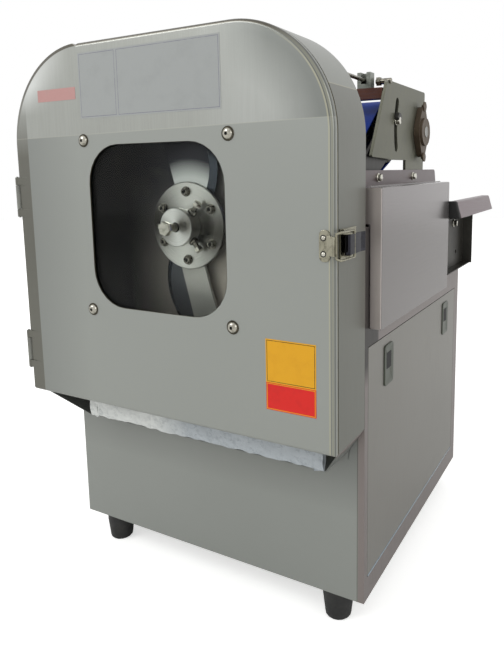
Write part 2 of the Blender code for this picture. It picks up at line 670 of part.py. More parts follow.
def discharge_chute():
    """Deflector with two slanted cheeks, hung under the head: an open surface with a wall."""
    low = FOOT_HEIGHT + CHUTE_LIP_LEVEL
    rear = FOOT_HEIGHT + CHUTE_BACK_LEVEL
    top = HEAD_LOW - CLEAR - CHUTE_SHEET / 2
    back = CHUTE_BACK_Y
    slope = (HALF - CHUTE_LIP_HALF) / (HEAD_BOTTOM - CHUTE_LIP_LEVEL)
    top_x = CHUTE_LIP_HALF + slope * (top - low) - CHUTE_SHEET / 2
    rear_x = CHUTE_LIP_HALF + slope * (rear - low)
    flange = 0.014
    front = HEAD_FRONT + 0.002
    lip_left, lip_right = (-CHUTE_LIP_HALF, CHUTE_LIP_Y, low), (CHUTE_LIP_HALF, CHUTE_LIP_Y, low)
    rear_left, rear_right = (-rear_x, back, rear), (rear_x, back, rear)
    points = [lip_left, lip_right, rear_right, rear_left, (-top_x, back, top), (-top_x, front, top),
              (top_x, back, top), (top_x, front, top),
              (rear_x, back, rear - flange), (-rear_x, back, rear - flange)]
    faces = [(0, 1, 2, 3), (0, 3, 4, 5), (2, 1, 7, 6), (3, 2, 8, 9)]
    mesh = bpy.data.meshes.new("discharge_chute")
    mesh.from_pydata(points, [], faces)
    chute = add_object("discharge_chute", mesh, STEEL, (0, 0, 0))
    wall = chute.modifiers.new("wall", "SOLIDIFY")
    wall.thickness = CHUTE_SHEET
    wall.offset = 0
    wall.use_even_offset = True


def chute_film():
    """Wrapping film left on the deflector: it lies on the slope and turns round the lip."""
    low = FOOT_HEIGHT + CHUTE_LIP_LEVEL
    run = CHUTE_BACK_Y - CHUTE_LIP_Y
    rise = CHUTE_BACK_LEVEL - CHUTE_LIP_LEVEL
    slope = Vector((run, rise)).normalized()
    out = Vector((-slope.y, slope.x))
    lip = Vector((CHUTE_LIP_Y, low))
    off = CHUTE_SHEET / 2 + CLEAR
    thick = 0.0006
    top = lip + slope * 0.022 + out * off
    nose = lip - slope * CLEAR + out * off
    tuck = lip - slope * CLEAR - out * off
    under = lip + slope * 0.010 - out * off
    outline = [top, nose - slope * 0.0008, tuck - slope * 0.0008, under, under - out * thick,
               tuck - out * thick - slope * 0.0016, nose + out * thick - slope * 0.0016, top + out * thick]
    cut_out("chute_film", "YZ", [[(p.x, p.y) for p in outline]], -CHUTE_LIP_HALF + 0.002,
            CHUTE_LIP_HALF - 0.002, FILM)


HINGE_X = -HALF - 0.0035
HINGE_Y = 0.0
HINGE_RADIUS = 0.0028
HINGE_SPAN = 0.050
HINGE_LEVELS = (0.270, 0.470)
HINGE_LEAF = 0.0012
HINGE_PIN = 0.0014
DOOR_EDGE = 0.0015


def door():
    """Arched door: folded rim, window opening, clear pane, seal, screws and the latch keeper."""
    swing = pivot_empty("door_hinge", (HINGE_X, HINGE_Y, FOOT_HEIGHT + HEAD_BOTTOM))
    panel = cut_out("door_panel", "XZ", [head_outline()], 0.0, DOOR_RIM, STEEL, parent=swing)
    hollow = cut_out("door_hollow", "XZ", [head_outline(HEAD_WALL)], DOOR_SHEET, DOOR_RIM + 0.010,
                     STEEL, parent=swing, cutter=True)
    window = rectangle(-WINDOW_HALF_WIDTH, WINDOW_LEVEL - WINDOW_HALF_HEIGHT, WINDOW_HALF_WIDTH,
                       WINDOW_LEVEL + WINDOW_HALF_HEIGHT, WINDOW_CORNER, 7)
    opening = cut_out("window_opening", "XZ", [window], -0.010, 0.010, STEEL, parent=swing, cutter=True)
    boolean(panel, [hollow, opening])
    pane_front = DOOR_SHEET + CLEAR
    edge_x = WINDOW_HALF_WIDTH + PANE_LAP
    edge_z = WINDOW_HALF_HEIGHT + PANE_LAP
    pane = rectangle(-edge_x, WINDOW_LEVEL - edge_z, edge_x, WINDOW_LEVEL + edge_z, 0.016, 5)
    cut_out("window_pane", "XZ", [pane], pane_front, pane_front + PANE_THICK, CLEAR_PANE, parent=swing)
    seal_loops = [head_outline(0.0006), head_outline(0.0060)]
    cut_out("door_seal", "XZ", seal_loops, SEAL_FRONT, SEAL_FRONT + SEAL_THICK, SEAL, parent=swing)
    hinges(swing, panel)
    latch_keeper(swing)
    return swing


def hinges(swing, panel):
    """Two butt hinges on the left edge: door leaves on the door, wall leaves with the barrel's middle."""
    middle = HINGE_SPAN * 0.3
    end = HINGE_SPAN * 0.5
    wall = -HALF - CLEAR
    leaves = []
    for label, level in (("lower", HINGE_LEVELS[0]), ("upper", HINGE_LEVELS[1])):
        z = FOOT_HEIGHT + level
        leaf = box(f"{label}_hinge", (wall - HINGE_LEAF, HEAD_FRONT + 0.002, z - end),
                   (wall, HEAD_FRONT + 0.028, z + end), BRIGHT)
        neck = box(f"{label}_hinge_neck", (wall - HINGE_LEAF, HINGE_Y, z - middle),
                   (wall, HEAD_FRONT + 0.003, z + middle), BRIGHT, cutter=True)
        barrel = rod(f"{label}_hinge_barrel", (HINGE_X, HINGE_Y, z - middle), (HINGE_X, HINGE_Y, z + middle),
                     HINGE_RADIUS, BRIGHT, 10, cutter=True)
        pin = rod(f"{label}_hinge_pin", (HINGE_X, HINGE_Y, z - end - 0.001),
                  (HINGE_X, HINGE_Y, z + end + 0.001), HINGE_PIN, BRIGHT, 8, cutter=True)
        boolean(leaf, [neck, barrel, pin], "UNION")
        for low, high, place in ((z - end, z - middle - CLEAR, "low"), (z + middle + CLEAR, z + end, "high")):
            name = f"{label}_door_leaf_{place}"
            plate = box(name, (HINGE_X, -DOOR_EDGE, low), (-HALF + 0.018, 0.0006, high), BRIGHT,
                        parent=swing, cutter=True)
            knuckle = rod(name + "_knuckle", (HINGE_X, HINGE_Y, low), (HINGE_X, HINGE_Y, high), HINGE_RADIUS,
                          BRIGHT, 10, parent=swing, cutter=True)
            hole = rod(name + "_hole", (HINGE_X, HINGE_Y, low - 0.004), (HINGE_X, HINGE_Y, high + 0.004),
                       HINGE_PIN + CLEAR, BRIGHT, 8, parent=swing, cutter=True)
            leaves.append((plate, knuckle, hole))
    for plate, knuckle, hole in leaves:
        boolean(panel, [plate, knuckle], "UNION")
    for plate, knuckle, hole in leaves:
        boolean(panel, [hole])


def latch_keeper(swing):
    """Hook plate on the door's front, with its turned-out lip."""
    z = FOOT_HEIGHT + LATCH_LEVEL
    outline = rectangle(0.203, z - LATCH_HALF, 0.2185, z + LATCH_HALF, 0.006, 4)
    keeper = cut_out("latch_keeper", "XZ", [outline], -0.0015, -CLEAR, BRIGHT, parent=swing)
    hook = box("keeper_hook", (0.2035, -KEEPER_PROUD, z - KEEPER_HOOK), (0.2050, -0.0008, z + KEEPER_HOOK),
               BRIGHT, parent=swing, cutter=True)
    boolean(keeper, [hook], "UNION")


# Latch on the right wall

LATCH_BASE_FRONT = HEAD_FRONT + 0.001
LATCH_BASE_BACK = 0.050
LATCH_PLATE = 0.0015
LATCH_PIN_Y = 0.018
LATCH_PIN_X = HALF + 0.0065
LATCH_PIN_RADIUS = 0.0015
BAIL_PIN_Y = 0.030
BAIL_PIN_X = HALF + 0.0080
BAIL_WIRE = 0.0013
LEVER_HALF = 0.0100
EAR_HALF = LEVER_HALF + CLEAR + LATCH_PLATE
BAIL_HALF = EAR_HALF + CLEAR + BAIL_WIRE
BAIL_NOSE_X = HALF + 0.0030


def latch():
    """Draw latch: a base with two ears, a lever on its pin, and a wire bail in the lever."""
    z = FOOT_HEIGHT + LATCH_LEVEL
    near = HALF + CLEAR
    base = box("latch_base", (near, LATCH_BASE_FRONT, z - LATCH_HALF),
               (near + LATCH_PLATE, LATCH_BASE_BACK, z + LATCH_HALF), BRIGHT)
    ears = []
    for side, label in ((-1, "low"), (1, "high")):
        inner = z + side * (LEVER_HALF + CLEAR)
        outer = z + side * EAR_HALF
        foot, tip = near + 0.0005, LATCH_PIN_X + 0.003
        outline = fillets([(foot, LATCH_PIN_Y - 0.0055, 0), (tip, LATCH_PIN_Y - 0.0035, 0.003),
                           (tip, LATCH_PIN_Y + 0.0035, 0.003), (foot, LATCH_PIN_Y + 0.009, 0)], 3)
        ears.append(cut_out(f"latch_ear_{label}", "XY", [outline], min(inner, outer), max(inner, outer),
                            BRIGHT, cutter=True))
    pin_half = EAR_HALF - 0.0002
    ears.append(rod("latch_pin", (LATCH_PIN_X, LATCH_PIN_Y, z - pin_half),
                    (LATCH_PIN_X, LATCH_PIN_Y, z + pin_half), LATCH_PIN_RADIUS, BRIGHT, 12, cutter=True))
    boolean(base, ears, "UNION")
    turn = pivot_empty("latch_lever_hinge", (LATCH_PIN_X, LATCH_PIN_Y, z))
    outline = fillets([(LATCH_PIN_X - 0.0030, LATCH_PIN_Y - 0.0030, 0.0020),
                       (LATCH_PIN_X + 0.0030, LATCH_PIN_Y - 0.0030, 0.0020),
                       (BAIL_PIN_X + 0.0030, BAIL_PIN_Y, 0.002),
                       (BAIL_PIN_X + 0.0060, 0.060, 0.001), (BAIL_PIN_X + 0.0085, 0.0740, 0.0005),
                       (BAIL_PIN_X + 0.0070, 0.0745, 0.0005), (BAIL_PIN_X + 0.0040, 0.0605, 0.001),
                       (BAIL_PIN_X - 0.0005, BAIL_PIN_Y + 0.0045, 0.001),
                       (BAIL_PIN_X - 0.0032, BAIL_PIN_Y + 0.0035, 0.001)], 3)
    lever = cut_out("latch_lever", "XY", [outline], z - LEVER_HALF, z + LEVER_HALF, BRIGHT, parent=turn)
    holes = [rod("lever_bore", (LATCH_PIN_X, LATCH_PIN_Y, z - 0.030), (LATCH_PIN_X, LATCH_PIN_Y, z + 0.030),
                 LATCH_PIN_RADIUS + CLEAR, BRIGHT, 12, parent=turn, cutter=True),
             rod("bail_bore", (BAIL_PIN_X, BAIL_PIN_Y, z - 0.030), (BAIL_PIN_X, BAIL_PIN_Y, z + 0.030),
                 BAIL_WIRE + CLEAR, BRIGHT, 12, parent=turn, cutter=True)]
    boolean(lever, holes)
    swing = pivot_empty("latch_bail_hinge", (BAIL_PIN_X, BAIL_PIN_Y, z), turn)
    low, high = z - BAIL_HALF, z + BAIL_HALF
    path = [(BAIL_PIN_X, BAIL_PIN_Y, low), (BAIL_PIN_X, 0.004, low), (BAIL_PIN_X - 0.001, -0.0005, low),
            (BAIL_NOSE_X, -0.0022, low + 0.0015), (BAIL_NOSE_X, -0.0022, high - 0.0015),
            (BAIL_PIN_X - 0.001, -0.0005, high), (BAIL_PIN_X, 0.004, high), (BAIL_PIN_X, BAIL_PIN_Y, high)]
    wire("latch_bail", path, BAIL_WIRE, BRIGHT, swing, cyclic=True)


def wire(name, path, radius, look, parent=None, cyclic=False, sides=2):
    """A bent wire: a curve through its corners, thickened."""
    curve = bpy.data.curves.new(name, "CURVE")
    curve.dimensions = "3D"
    curve.bevel_depth = radius
    curve.bevel_resolution = sides
    curve.use_fill_caps = not cyclic
    spline = curve.splines.new("POLY")
    spline.points.add(len(path) - 1)
    middle = Vector(path[0])
    for point, place in zip(spline.points, path):
        point.co = (*(Vector(place) - middle), 1)
    spline.use_cyclic_u = cyclic
    item = bpy.data.objects.new(name, curve)
    curve.materials.append(look)
    item.parent = machine if parent is None else parent
    offset = Vector((0, 0, 0)) if parent is None else Vector(parent["place"])
    item.location = middle - offset
    PARTS.objects.link(item)
    return item


# Side cover, tray rails and their brackets

def side_cover():
    """Folded box over the feed chain; its top runs inwards to the feed trough."""
    low, high = FOOT_HEIGHT + COVER_BOTTOM, FOOT_HEIGHT + COVER_TOP
    near, far = HALF + CLEAR, HALF + COVER_PROUD
    inner = CONVEYOR_RIGHT + 2 * CLEAR
    front, back = COVER_FRONT + CLEAR, COVER_BACK - CLEAR
    cover = box("side_cover", (near, front, low), (far, back, high), STEEL)
    top = box("cover_top", (inner, front, DECK + CLEAR), (far - 0.0002, back, high - 0.0001), STEEL,
              cutter=True)
    wall = COVER_SHEET
    hollow = box("cover_hollow", (near - 0.010, front + wall, low + wall),
                 (far - wall, back - wall, high - wall), STEEL, cutter=True)
    under = box("cover_under", (inner - 0.010, front + wall, DECK - 0.010), (near, back - wall, high - wall),
                STEEL, cutter=True)
    boolean(cover, [top], "UNION")
    boolean(cover, [hollow, under])


def tray_support(side, label):
    """A pan bracket on the cabinet's side and the hat-section rail that it carries."""
    low, high = FOOT_HEIGHT + POCKET_BOTTOM, FOOT_HEIGHT + POCKET_TOP
    seat = FOOT_HEIGHT + RAIL_TOP - RAIL_HEIGHT - CLEAR
    near, far = HALF + CLEAR, HALF + POCKET_DEPTH
    wall = COVER_SHEET
    front = COVER_BACK + CLEAR

    def part_box(name, x0, x1, y0, y1, z0, z1, cutter=True):
        left, right = span(side, x0, x1)
        return box(f"tray_{name}_{label}", (left, y0, z0), (right, y1, z1), STEEL, cutter=cutter)

    bracket = part_box("bracket", near, near + wall, front, POCKET_BACK, low, high, False)
    pieces = [part_box("pan", near, far, front, POCKET_BACK, low, low + wall),
              part_box("end", near, far + 0.003, POCKET_BACK - 0.006, POCKET_BACK - 0.006 + wall, low, seat),
              part_box("shelf", near, RAIL_X + 0.006, SHELF_FRONT, SHELF_BACK, seat - 2 * wall, seat),
              part_box("shelf_back", near, near + wall, SHELF_FRONT, SHELF_BACK, high - 0.004, seat)]
    boolean(bracket, pieces, "UNION")
    hole_level = FOOT_HEIGHT + PAN_HOLE_LEVEL
    hole = rod(f"tray_pan_hole_{label}", (side * (near - 0.010), PAN_HOLE_Y, hole_level),
               (side * (far + 0.010), PAN_HOLE_Y, hole_level), 0.0035, STEEL, 12, cutter=True)
    boolean(bracket, [hole])
    x = side * RAIL_X
    top = FOOT_HEIGHT + RAIL_TOP
    foot = top - RAIL_HEIGHT
    half, wide = RAIL_TOP_WIDTH / 2, RAIL_FOOT_WIDTH / 2
    corners = [(x - wide, foot, 0), (x - half, top, 0.003), (x + half, top, 0.003), (x + wide, foot, 0),
               (x + wide - wall * 1.1, foot, 0), (x + half - wall, top - wall, 0.0015),
               (x - half + wall, top - wall, 0.0015), (x - wide + wall * 1.1, foot, 0)]
    cut_out(f"tray_rail_{label}", "XZ", [fillets(corners, 3)], RAIL_FRONT, RAIL_REACH, STEEL)


# Cutter

BLADE_SECTIONS = 14
BLADE_SWEEP = 78
BLADE_ROOT = 0.0225
BLADE_BEVEL = 0.010


def blade(name, start, spin):
    """Sickle blade lofted along two spirals that meet at the tip, ground thin at the leading edge."""
    bm = bmesh.new()
    back = BLADE_FACE + BLADE_THICK
    rows = []
    for i in range(BLADE_SECTIONS):
        t = 0.985 * i / (BLADE_SECTIONS - 1)
        radius = BLADE_ROOT + (BLADE_REACH - BLADE_ROOT) * t ** 0.9
        lead = start + BLADE_SWEEP * t ** 1.2
        width = 76 * (1 - t) ** 1.15 + 2
        trail = lead + width
        bevel = min(BLADE_BEVEL, 0.4 * math.radians(width) * radius)
        ground = lead + math.degrees(bevel / radius)
        row = []
        for angle, depth in ((lead, back), (ground, BLADE_FACE), (trail, BLADE_FACE), (trail, back)):
            turn = math.radians(angle)
            row.append(bm.verts.new((radius * math.cos(turn), depth, radius * math.sin(turn))))
        rows.append(row)
    for inner, outer in zip(rows, rows[1:]):
        for i in range(4):
            j = (i + 1) % 4
            bm.faces.new((inner[i], inner[j], outer[j], outer[i]))
    bm.faces.new(rows[0])
    bm.faces.new(list(reversed(rows[-1])))
    add_object(name, mesh_from(bm, name), BLADE_STEEL, (0, 0, AXIS), parent=spin)


def cutter():
    """Spindle with its hub, two sickle blades, nose collar and pulley."""
    spin = pivot_empty("cutter_spin", (0, BLADE_FACE, AXIS))
    flange_front = BLADE_FACE + BLADE_THICK + CLEAR
    flange_back = flange_front + HUB_THICK
    collar_back = BLADE_FACE - CLEAR - HUB_THICK - CLEAR
    seat = NOSE_FACE + NOSE_THICK + CLEAR
    shaft_profile = [(0, SHAFT_END), (SHAFT_RADIUS - 0.001, SHAFT_END), (SHAFT_RADIUS, SHAFT_END - 0.001),
                     (SHAFT_RADIUS, flange_back), (HUB_RADIUS - 0.003, flange_back),
                     (HUB_RADIUS - 0.003, flange_front), (SHAFT_RADIUS, flange_front), (SHAFT_RADIUS, seat),
                     (STUD_RADIUS + CLEAR, seat), (STUD_RADIUS + CLEAR, seat + 0.022), (0, seat + 0.022)]
    turned("cutter_shaft", shaft_profile, (0, 0, AXIS), "Y", DARK_STEEL, 24, parent=spin)
    hub_front = BLADE_FACE - CLEAR - HUB_THICK
    bore = SHAFT_RADIUS + CLEAR
    hub = turned("hub_flange", [(bore, BLADE_FACE - CLEAR), (HUB_RADIUS - 0.001, BLADE_FACE - CLEAR),
                                (HUB_RADIUS, BLADE_FACE - CLEAR - 0.001), (HUB_RADIUS, hub_front + 0.001),
                                (HUB_RADIUS - 0.001, hub_front), (bore, hub_front)],
                 (0, 0, AXIS), "Y", DARK_STEEL, 28, parent=spin)
    heads = []
    for i in range(6):
        angle = math.radians(30 + 60 * i)
        x = HUB_SCREW_CIRCLE * math.cos(angle)
        z = AXIS + HUB_SCREW_CIRCLE * math.sin(angle)
        heads.append(rod(f"hub_screw_{i}", (x, hub_front + 0.001, z), (x, hub_front - 0.005, z),
                         HUB_SCREW_RADIUS + 0.002, BRIGHT, 8, parent=spin, cutter=True))
    boolean(hub, heads, "UNION")
    nose = turned("nose_collar", [(bore, collar_back), (COLLAR_RADIUS, collar_back),
                                  (COLLAR_RADIUS, NOSE_FACE + NOSE_THICK),
                                  (NOSE_RADIUS, NOSE_FACE + NOSE_THICK),
                                  (NOSE_RADIUS, NOSE_FACE + 0.001), (NOSE_RADIUS - 0.001, NOSE_FACE),
                                  (STUD_RADIUS + CLEAR, NOSE_FACE), (STUD_RADIUS + CLEAR, seat - CLEAR),
                                  (bore, seat - CLEAR)],
                  (0, 0, AXIS), "Y", DARK_STEEL, 24, parent=spin)
    bolts = []
    y = (NOSE_FACE + NOSE_THICK + collar_back) / 2
    for i, degrees in enumerate((50, -50, 180)):
        angle = math.radians(degrees)
        out = Vector((math.cos(angle), 0, math.sin(angle)))
        place = Vector((0, y, AXIS))
        bolts.append(rod(f"set_bolt_{i}", place + out * 0.018, place + out * 0.036, 0.0030, BRIGHT, 8,
                         parent=spin, cutter=True))
        bolts.append(rod(f"set_nut_{i}", place + out * 0.0195, place + out * 0.0245, 0.0058, BRIGHT, 6,
                         parent=spin, cutter=True))
        bolts.append(rod(f"set_head_{i}", place + out * 0.032, place + out * 0.037, 0.0055, BRIGHT, 6,
                         parent=spin, cutter=True))
    boolean(nose, bolts, "UNION")
    bm = bmesh.new()
    add_bolt(bm, facing((0, NOSE_FACE - 0.014, AXIS), (0, -1, 0)), BOLT_FLATS, 0.007, STUD_RADIUS, 0.038)
    add_object("nose_bolt", mesh_from(bm, "nose_bolt"), BRIGHT, (0, 0, 0), parent=spin)
    blade("upper_blade", 40, spin)
    blade("lower_blade", 220, spin)
    front = HEAD_DEPTH + CARTRIDGE_LENGTH + 0.032
    grooved_pulley("spindle_pulley", SPINDLE_PULLEY_RADIUS, front, AXIS, SHAFT_RADIUS + CLEAR, spin)
    return front


def grooved_pulley(name, radius, front, level, bore, parent):
    """A pulley with one vee groove."""
    back = front + PULLEY_WIDTH
    rim = 0.004
    floor = radius - BELT_THICK
    profile = [(bore, back), (radius, back), (radius, back - rim), (floor, back - rim - 0.003),
               (floor, front + rim + 0.003), (radius, front + rim), (radius, front), (bore, front)]
    turned(name, profile, (0, 0, level), "Y", DARK_STEEL, 24, parent=parent)


def bearing_cartridge():
    """Flanged cartridge that carries the spindle, bolted to the head's back plate."""
    front = HEAD_DEPTH + CLEAR / 3
    back = HEAD_DEPTH + CARTRIDGE_LENGTH
    bore = SHAFT_RADIUS + CLEAR
    profile = [(bore, back), (CARTRIDGE_RADIUS - 0.002, back), (CARTRIDGE_RADIUS, back - 0.002),
               (CARTRIDGE_RADIUS, front + 0.010), (CARTRIDGE_FLANGE, front + 0.010),
               (CARTRIDGE_FLANGE, front), (bore, front)]
    turned("bearing_cartridge", profile, (0, 0, AXIS), "Y", DARK_STEEL, 24)


def loop_outline(first, first_radius, second, second_radius, steps=12):
    """The outline of a belt round two wheels, in its own plane."""
    one, two = Vector(first), Vector(second)
    along = (two - one).normalized()
    base = math.degrees(math.atan2(along.y, along.x))
    lean = math.degrees(math.acos((first_radius - second_radius) / (two - one).length))
    points = arc(one.x, one.y, first_radius, base + lean, base + 360 - lean, steps)
    points += arc(two.x, two.y, second_radius, base - lean, base + lean, steps)
    return points


def belt(name, plane, first, first_radius, second, second_radius, thick, near, far, look, steps=12,
         parent=None):
    loops = [loop_outline(first, first_radius + CLEAR + thick, second, second_radius + CLEAR + thick, steps),
             loop_outline(first, first_radius + CLEAR, second, second_radius + CLEAR, steps)]
    return cut_out(name, plane, loops, near, far, look, parent=parent)


def cutter_drive(front):
    """Foot motor low in the cabinet, its pulley and the belt up to the spindle."""
    level = FOOT_HEIGHT + MOTOR_LEVEL
    spin = pivot_empty("motor_spin", (0, front, level))
    body_front = front + PULLEY_WIDTH + 0.012
    grooved_pulley("motor_pulley", MOTOR_PULLEY_RADIUS, front, level, MOTOR_SHAFT_RADIUS + CLEAR, spin)
    back = body_front + MOTOR_LENGTH
    profile = [(0, back), (MOTOR_RADIUS * 0.8, back), (MOTOR_RADIUS, back - 0.015),
               (MOTOR_RADIUS, body_front + 0.012), (MOTOR_RADIUS * 0.85, body_front),
               (MOTOR_SHAFT_RADIUS, body_front), (MOTOR_SHAFT_RADIUS, front + 0.002), (0, front + 0.002)]
    motor = turned("motor", profile, (0, 0, level), "Y", CAST, 24)
    floor = FOOT_HEIGHT + SHEET + CLEAR
    feet_plate = box("motor_feet", (-0.062, body_front + 0.030, floor), (0.062, back - 0.030, floor + 0.010),
                     CAST, cutter=True)
    pedestal = box("motor_pedestal", (-0.045, body_front + 0.036, floor + 0.008),
                   (0.045, back - 0.036, level - MOTOR_RADIUS * 0.6), CAST, cutter=True)
    fins = bmesh.new()
    for i in range(9):
        angle = math.radians(20 * (i - 4) + 90)
        out = Vector((math.cos(angle), 0, math.sin(angle)))
        place = Matrix.Translation(Vector((0, (body_front + back) / 2, level)) + out * (MOTOR_RADIUS + 0.001))
        turn = Matrix.Rotation(math.pi / 2 - angle, 4, "Y")
        size = Matrix.Diagonal((0.003, MOTOR_LENGTH - 0.060, 0.008, 1.0))
        bmesh.ops.create_cube(fins, size=1.0, matrix=place @ turn @ size)
    ribs = add_object("motor_fins", mesh_from(fins, "motor_fins"), CAST, (0, 0, 0), cutter=True)
    boolean(motor, [feet_plate, pedestal, ribs], "UNION")
    belt_near = front + 0.007
    belt("v_belt", "XZ", (0, level), MOTOR_PULLEY_RADIUS - BELT_THICK + 0.001, (0, AXIS),
         SPINDLE_PULLEY_RADIUS - BELT_THICK + 0.001, BELT_THICK, belt_near + CLEAR,
         front + PULLEY_WIDTH - 0.007 - CLEAR, RUBBER, 10)


# Feed conveyor

def conveyor_frame():
    """Trough walls, floor and slider bed of the feed conveyor, with the shaft bores."""
    floor = FOOT_HEIGHT + CONVEYOR_FLOOR
    low_top = FOOT_HEIGHT + BELT_TOP + 0.004
    top = FOOT_HEIGHT + TROUGH_TOP
    front = HEAD_DEPTH + CLEAR
    corners = [(front, floor, 0), (CONVEYOR_END, floor, 0.008), (CONVEYOR_END, low_top, 0.008),
               (TROUGH_END + 0.020, low_top, 0.006), (TROUGH_END, top, 0.006), (front, top, 0)]
    holes = [circle(FRONT_ROLLER_Y, FEED_LEVEL, ROLLER_SHAFT_RADIUS + CLEAR, 16),
             circle(TAIL_ROLLER_Y, FEED_LEVEL, ROLLER_SHAFT_RADIUS + CLEAR, 16)]
    loops = [fillets(corners, 3)] + holes
    frame = cut_out("conveyor_frame", "YZ", loops, CONVEYOR_LEFT, CONVEYOR_LEFT + CONVEYOR_WALL, STEEL)
    right = cut_out("conveyor_right_wall", "YZ", loops, CONVEYOR_RIGHT - CONVEYOR_WALL, CONVEYOR_RIGHT, STEEL,
                    cutter=True)
    bed_top = FEED_LEVEL + FEED_ROLLER_RADIUS
    inside_left = CONVEYOR_LEFT + CONVEYOR_WALL / 2
    inside_right = CONVEYOR_RIGHT - CONVEYOR_WALL / 2
    bed = box("conveyor_bed", (inside_left, FRONT_ROLLER_Y + 0.026, bed_top - 0.003),
              (inside_right, TAIL_ROLLER_Y - 0.026, bed_top - CLEAR), STEEL, cutter=True)
    base = box("conveyor_floor", (inside_left, front + 0.004, floor + 0.0005),
               (inside_right, CONVEYOR_END - 0.020, floor + 0.0025), STEEL, cutter=True)
    boolean(frame, [right, bed, base], "UNION")


def feed_roller(name, y, spin, left, right, sprocket_left, teeth):
    """A belt roller on its shaft, with a chain wheel on one end."""
    half = FEED_HALF - BELT_MARGIN + 0.002
    roller = rod(name, (FEED_MIDDLE - half, y, FEED_LEVEL), (FEED_MIDDLE + half, y, FEED_LEVEL),
                 FEED_ROLLER_RADIUS, DARK_STEEL, 24, parent=spin)
    shaft = rod(name + "_shaft", (left, y, FEED_LEVEL), (right, y, FEED_LEVEL), ROLLER_SHAFT_RADIUS,
                DARK_STEEL, 14, parent=spin, cutter=True)
    wheel = sprocket(name + "_wheel", y, FEED_LEVEL, sprocket_left, teeth, spin)
    boolean(roller, [shaft, wheel], "UNION")


def wheel_radius(teeth):
    """Pitch radius of a chain wheel."""
    return CHAIN_PITCH / (2 * math.sin(math.pi / teeth))


def sprocket(name, y, z, left, teeth, parent):
    """A chain wheel with its teeth drawn as straight flanks."""
    tip = wheel_radius(teeth)
    root = tip - 0.0035
    outline = []
    for i in range(teeth):
        for part, radius in ((0.0, root), (0.26, root), (0.46, tip), (0.80, tip)):
            angle = 2 * math.pi * (i + part) / teeth
            outline.append((y + radius * math.cos(angle), z + radius * math.sin(angle)))
    return cut_out(name, "YZ", [outline], left, left + SPROCKET_WIDTH, DARK_STEEL, parent=parent, cutter=True,
                   smooth=False)


def chain(name, first, first_teeth, second, second_teeth, left):
    """A chain as a plain closed loop round two wheels."""
    belt(name, "YZ", first, wheel_radius(first_teeth), second, wheel_radius(second_teeth), CHAIN_THICK,
         left, left + CHAIN_THICK, DARK_STEEL, 14)


def conveyor():
    """Trough, rollers, belt, gearmotor and the two chains."""
    conveyor_frame()
    drive = pivot_empty("feed_drive_spin", (FEED_MIDDLE, FRONT_ROLLER_Y, FEED_LEVEL))
    tail = pivot_empty("feed_tail_spin", (FEED_MIDDLE, TAIL_ROLLER_Y, FEED_LEVEL))
    wheel_gap = (CHAIN_THICK - SPROCKET_WIDTH) / 2
    chain_wheel = FEED_CHAIN_LEFT + wheel_gap
    press_wheel = PRESS_CHAIN_LEFT + wheel_gap
    past_wheel = chain_wheel + SPROCKET_WIDTH + 0.002
    feed_roller("feed_drive_roller", FRONT_ROLLER_Y, drive, CONVEYOR_LEFT - SHAFT_PROUD, past_wheel,
                chain_wheel, FEED_WHEEL_TEETH)
    feed_roller("feed_tail_roller", TAIL_ROLLER_Y, tail, press_wheel - 0.002, CONVEYOR_RIGHT + SHAFT_PROUD,
                press_wheel, TAIL_WHEEL_TEETH)
    half = FEED_HALF - BELT_MARGIN
    belt("feed_belt", "YZ", (FRONT_ROLLER_Y, FEED_LEVEL), FEED_ROLLER_RADIUS, (TAIL_ROLLER_Y, FEED_LEVEL),
         FEED_ROLLER_RADIUS, BELT_SHEET - CLEAR, FEED_MIDDLE - half, FEED_MIDDLE + half, WHITE_BELT, 10)
    gear_level = FOOT_HEIGHT + GEARMOTOR_LEVEL
    body_right = CONVEYOR_RIGHT - 0.006
    body = rod("feed_gearmotor", (CONVEYOR_LEFT + 0.020, GEARMOTOR_Y, gear_level),
               (body_right, GEARMOTOR_Y, gear_level), GEARMOTOR_RADIUS, CAST, 24)
    seat = FOOT_HEIGHT + CONVEYOR_FLOOR - CLEAR
    hanger = box("gearmotor_hanger", (CONVEYOR_LEFT + 0.030, GEARMOTOR_Y - HANGER_HALF, gear_level),
                 (CONVEYOR_RIGHT - 0.020, GEARMOTOR_Y + HANGER_HALF, seat), CAST, cutter=True)
    boolean(body, [hanger], "UNION")
    spin = pivot_empty("gearmotor_spin", (CONVEYOR_RIGHT, GEARMOTOR_Y, gear_level))
    shaft = rod("gearmotor_shaft", (body_right + CLEAR, GEARMOTOR_Y, gear_level),
                (past_wheel, GEARMOTOR_Y, gear_level), ROLLER_SHAFT_RADIUS, DARK_STEEL, 14, parent=spin)
    wheel = sprocket("gearmotor_wheel", GEARMOTOR_Y, gear_level, chain_wheel, FEED_WHEEL_TEETH, spin)
    boolean(shaft, [wheel], "UNION")
    chain("feed_chain", (FRONT_ROLLER_Y, FEED_LEVEL), FEED_WHEEL_TEETH, (GEARMOTOR_Y, gear_level),
          FEED_WHEEL_TEETH, FEED_CHAIN_LEFT)
    chain("press_chain", (TAIL_ROLLER_Y, FEED_LEVEL), TAIL_WHEEL_TEETH, (PIVOT.y, PIVOT.z), PIVOT_WHEEL_TEETH,
          PRESS_CHAIN_LEFT)


# Press unit

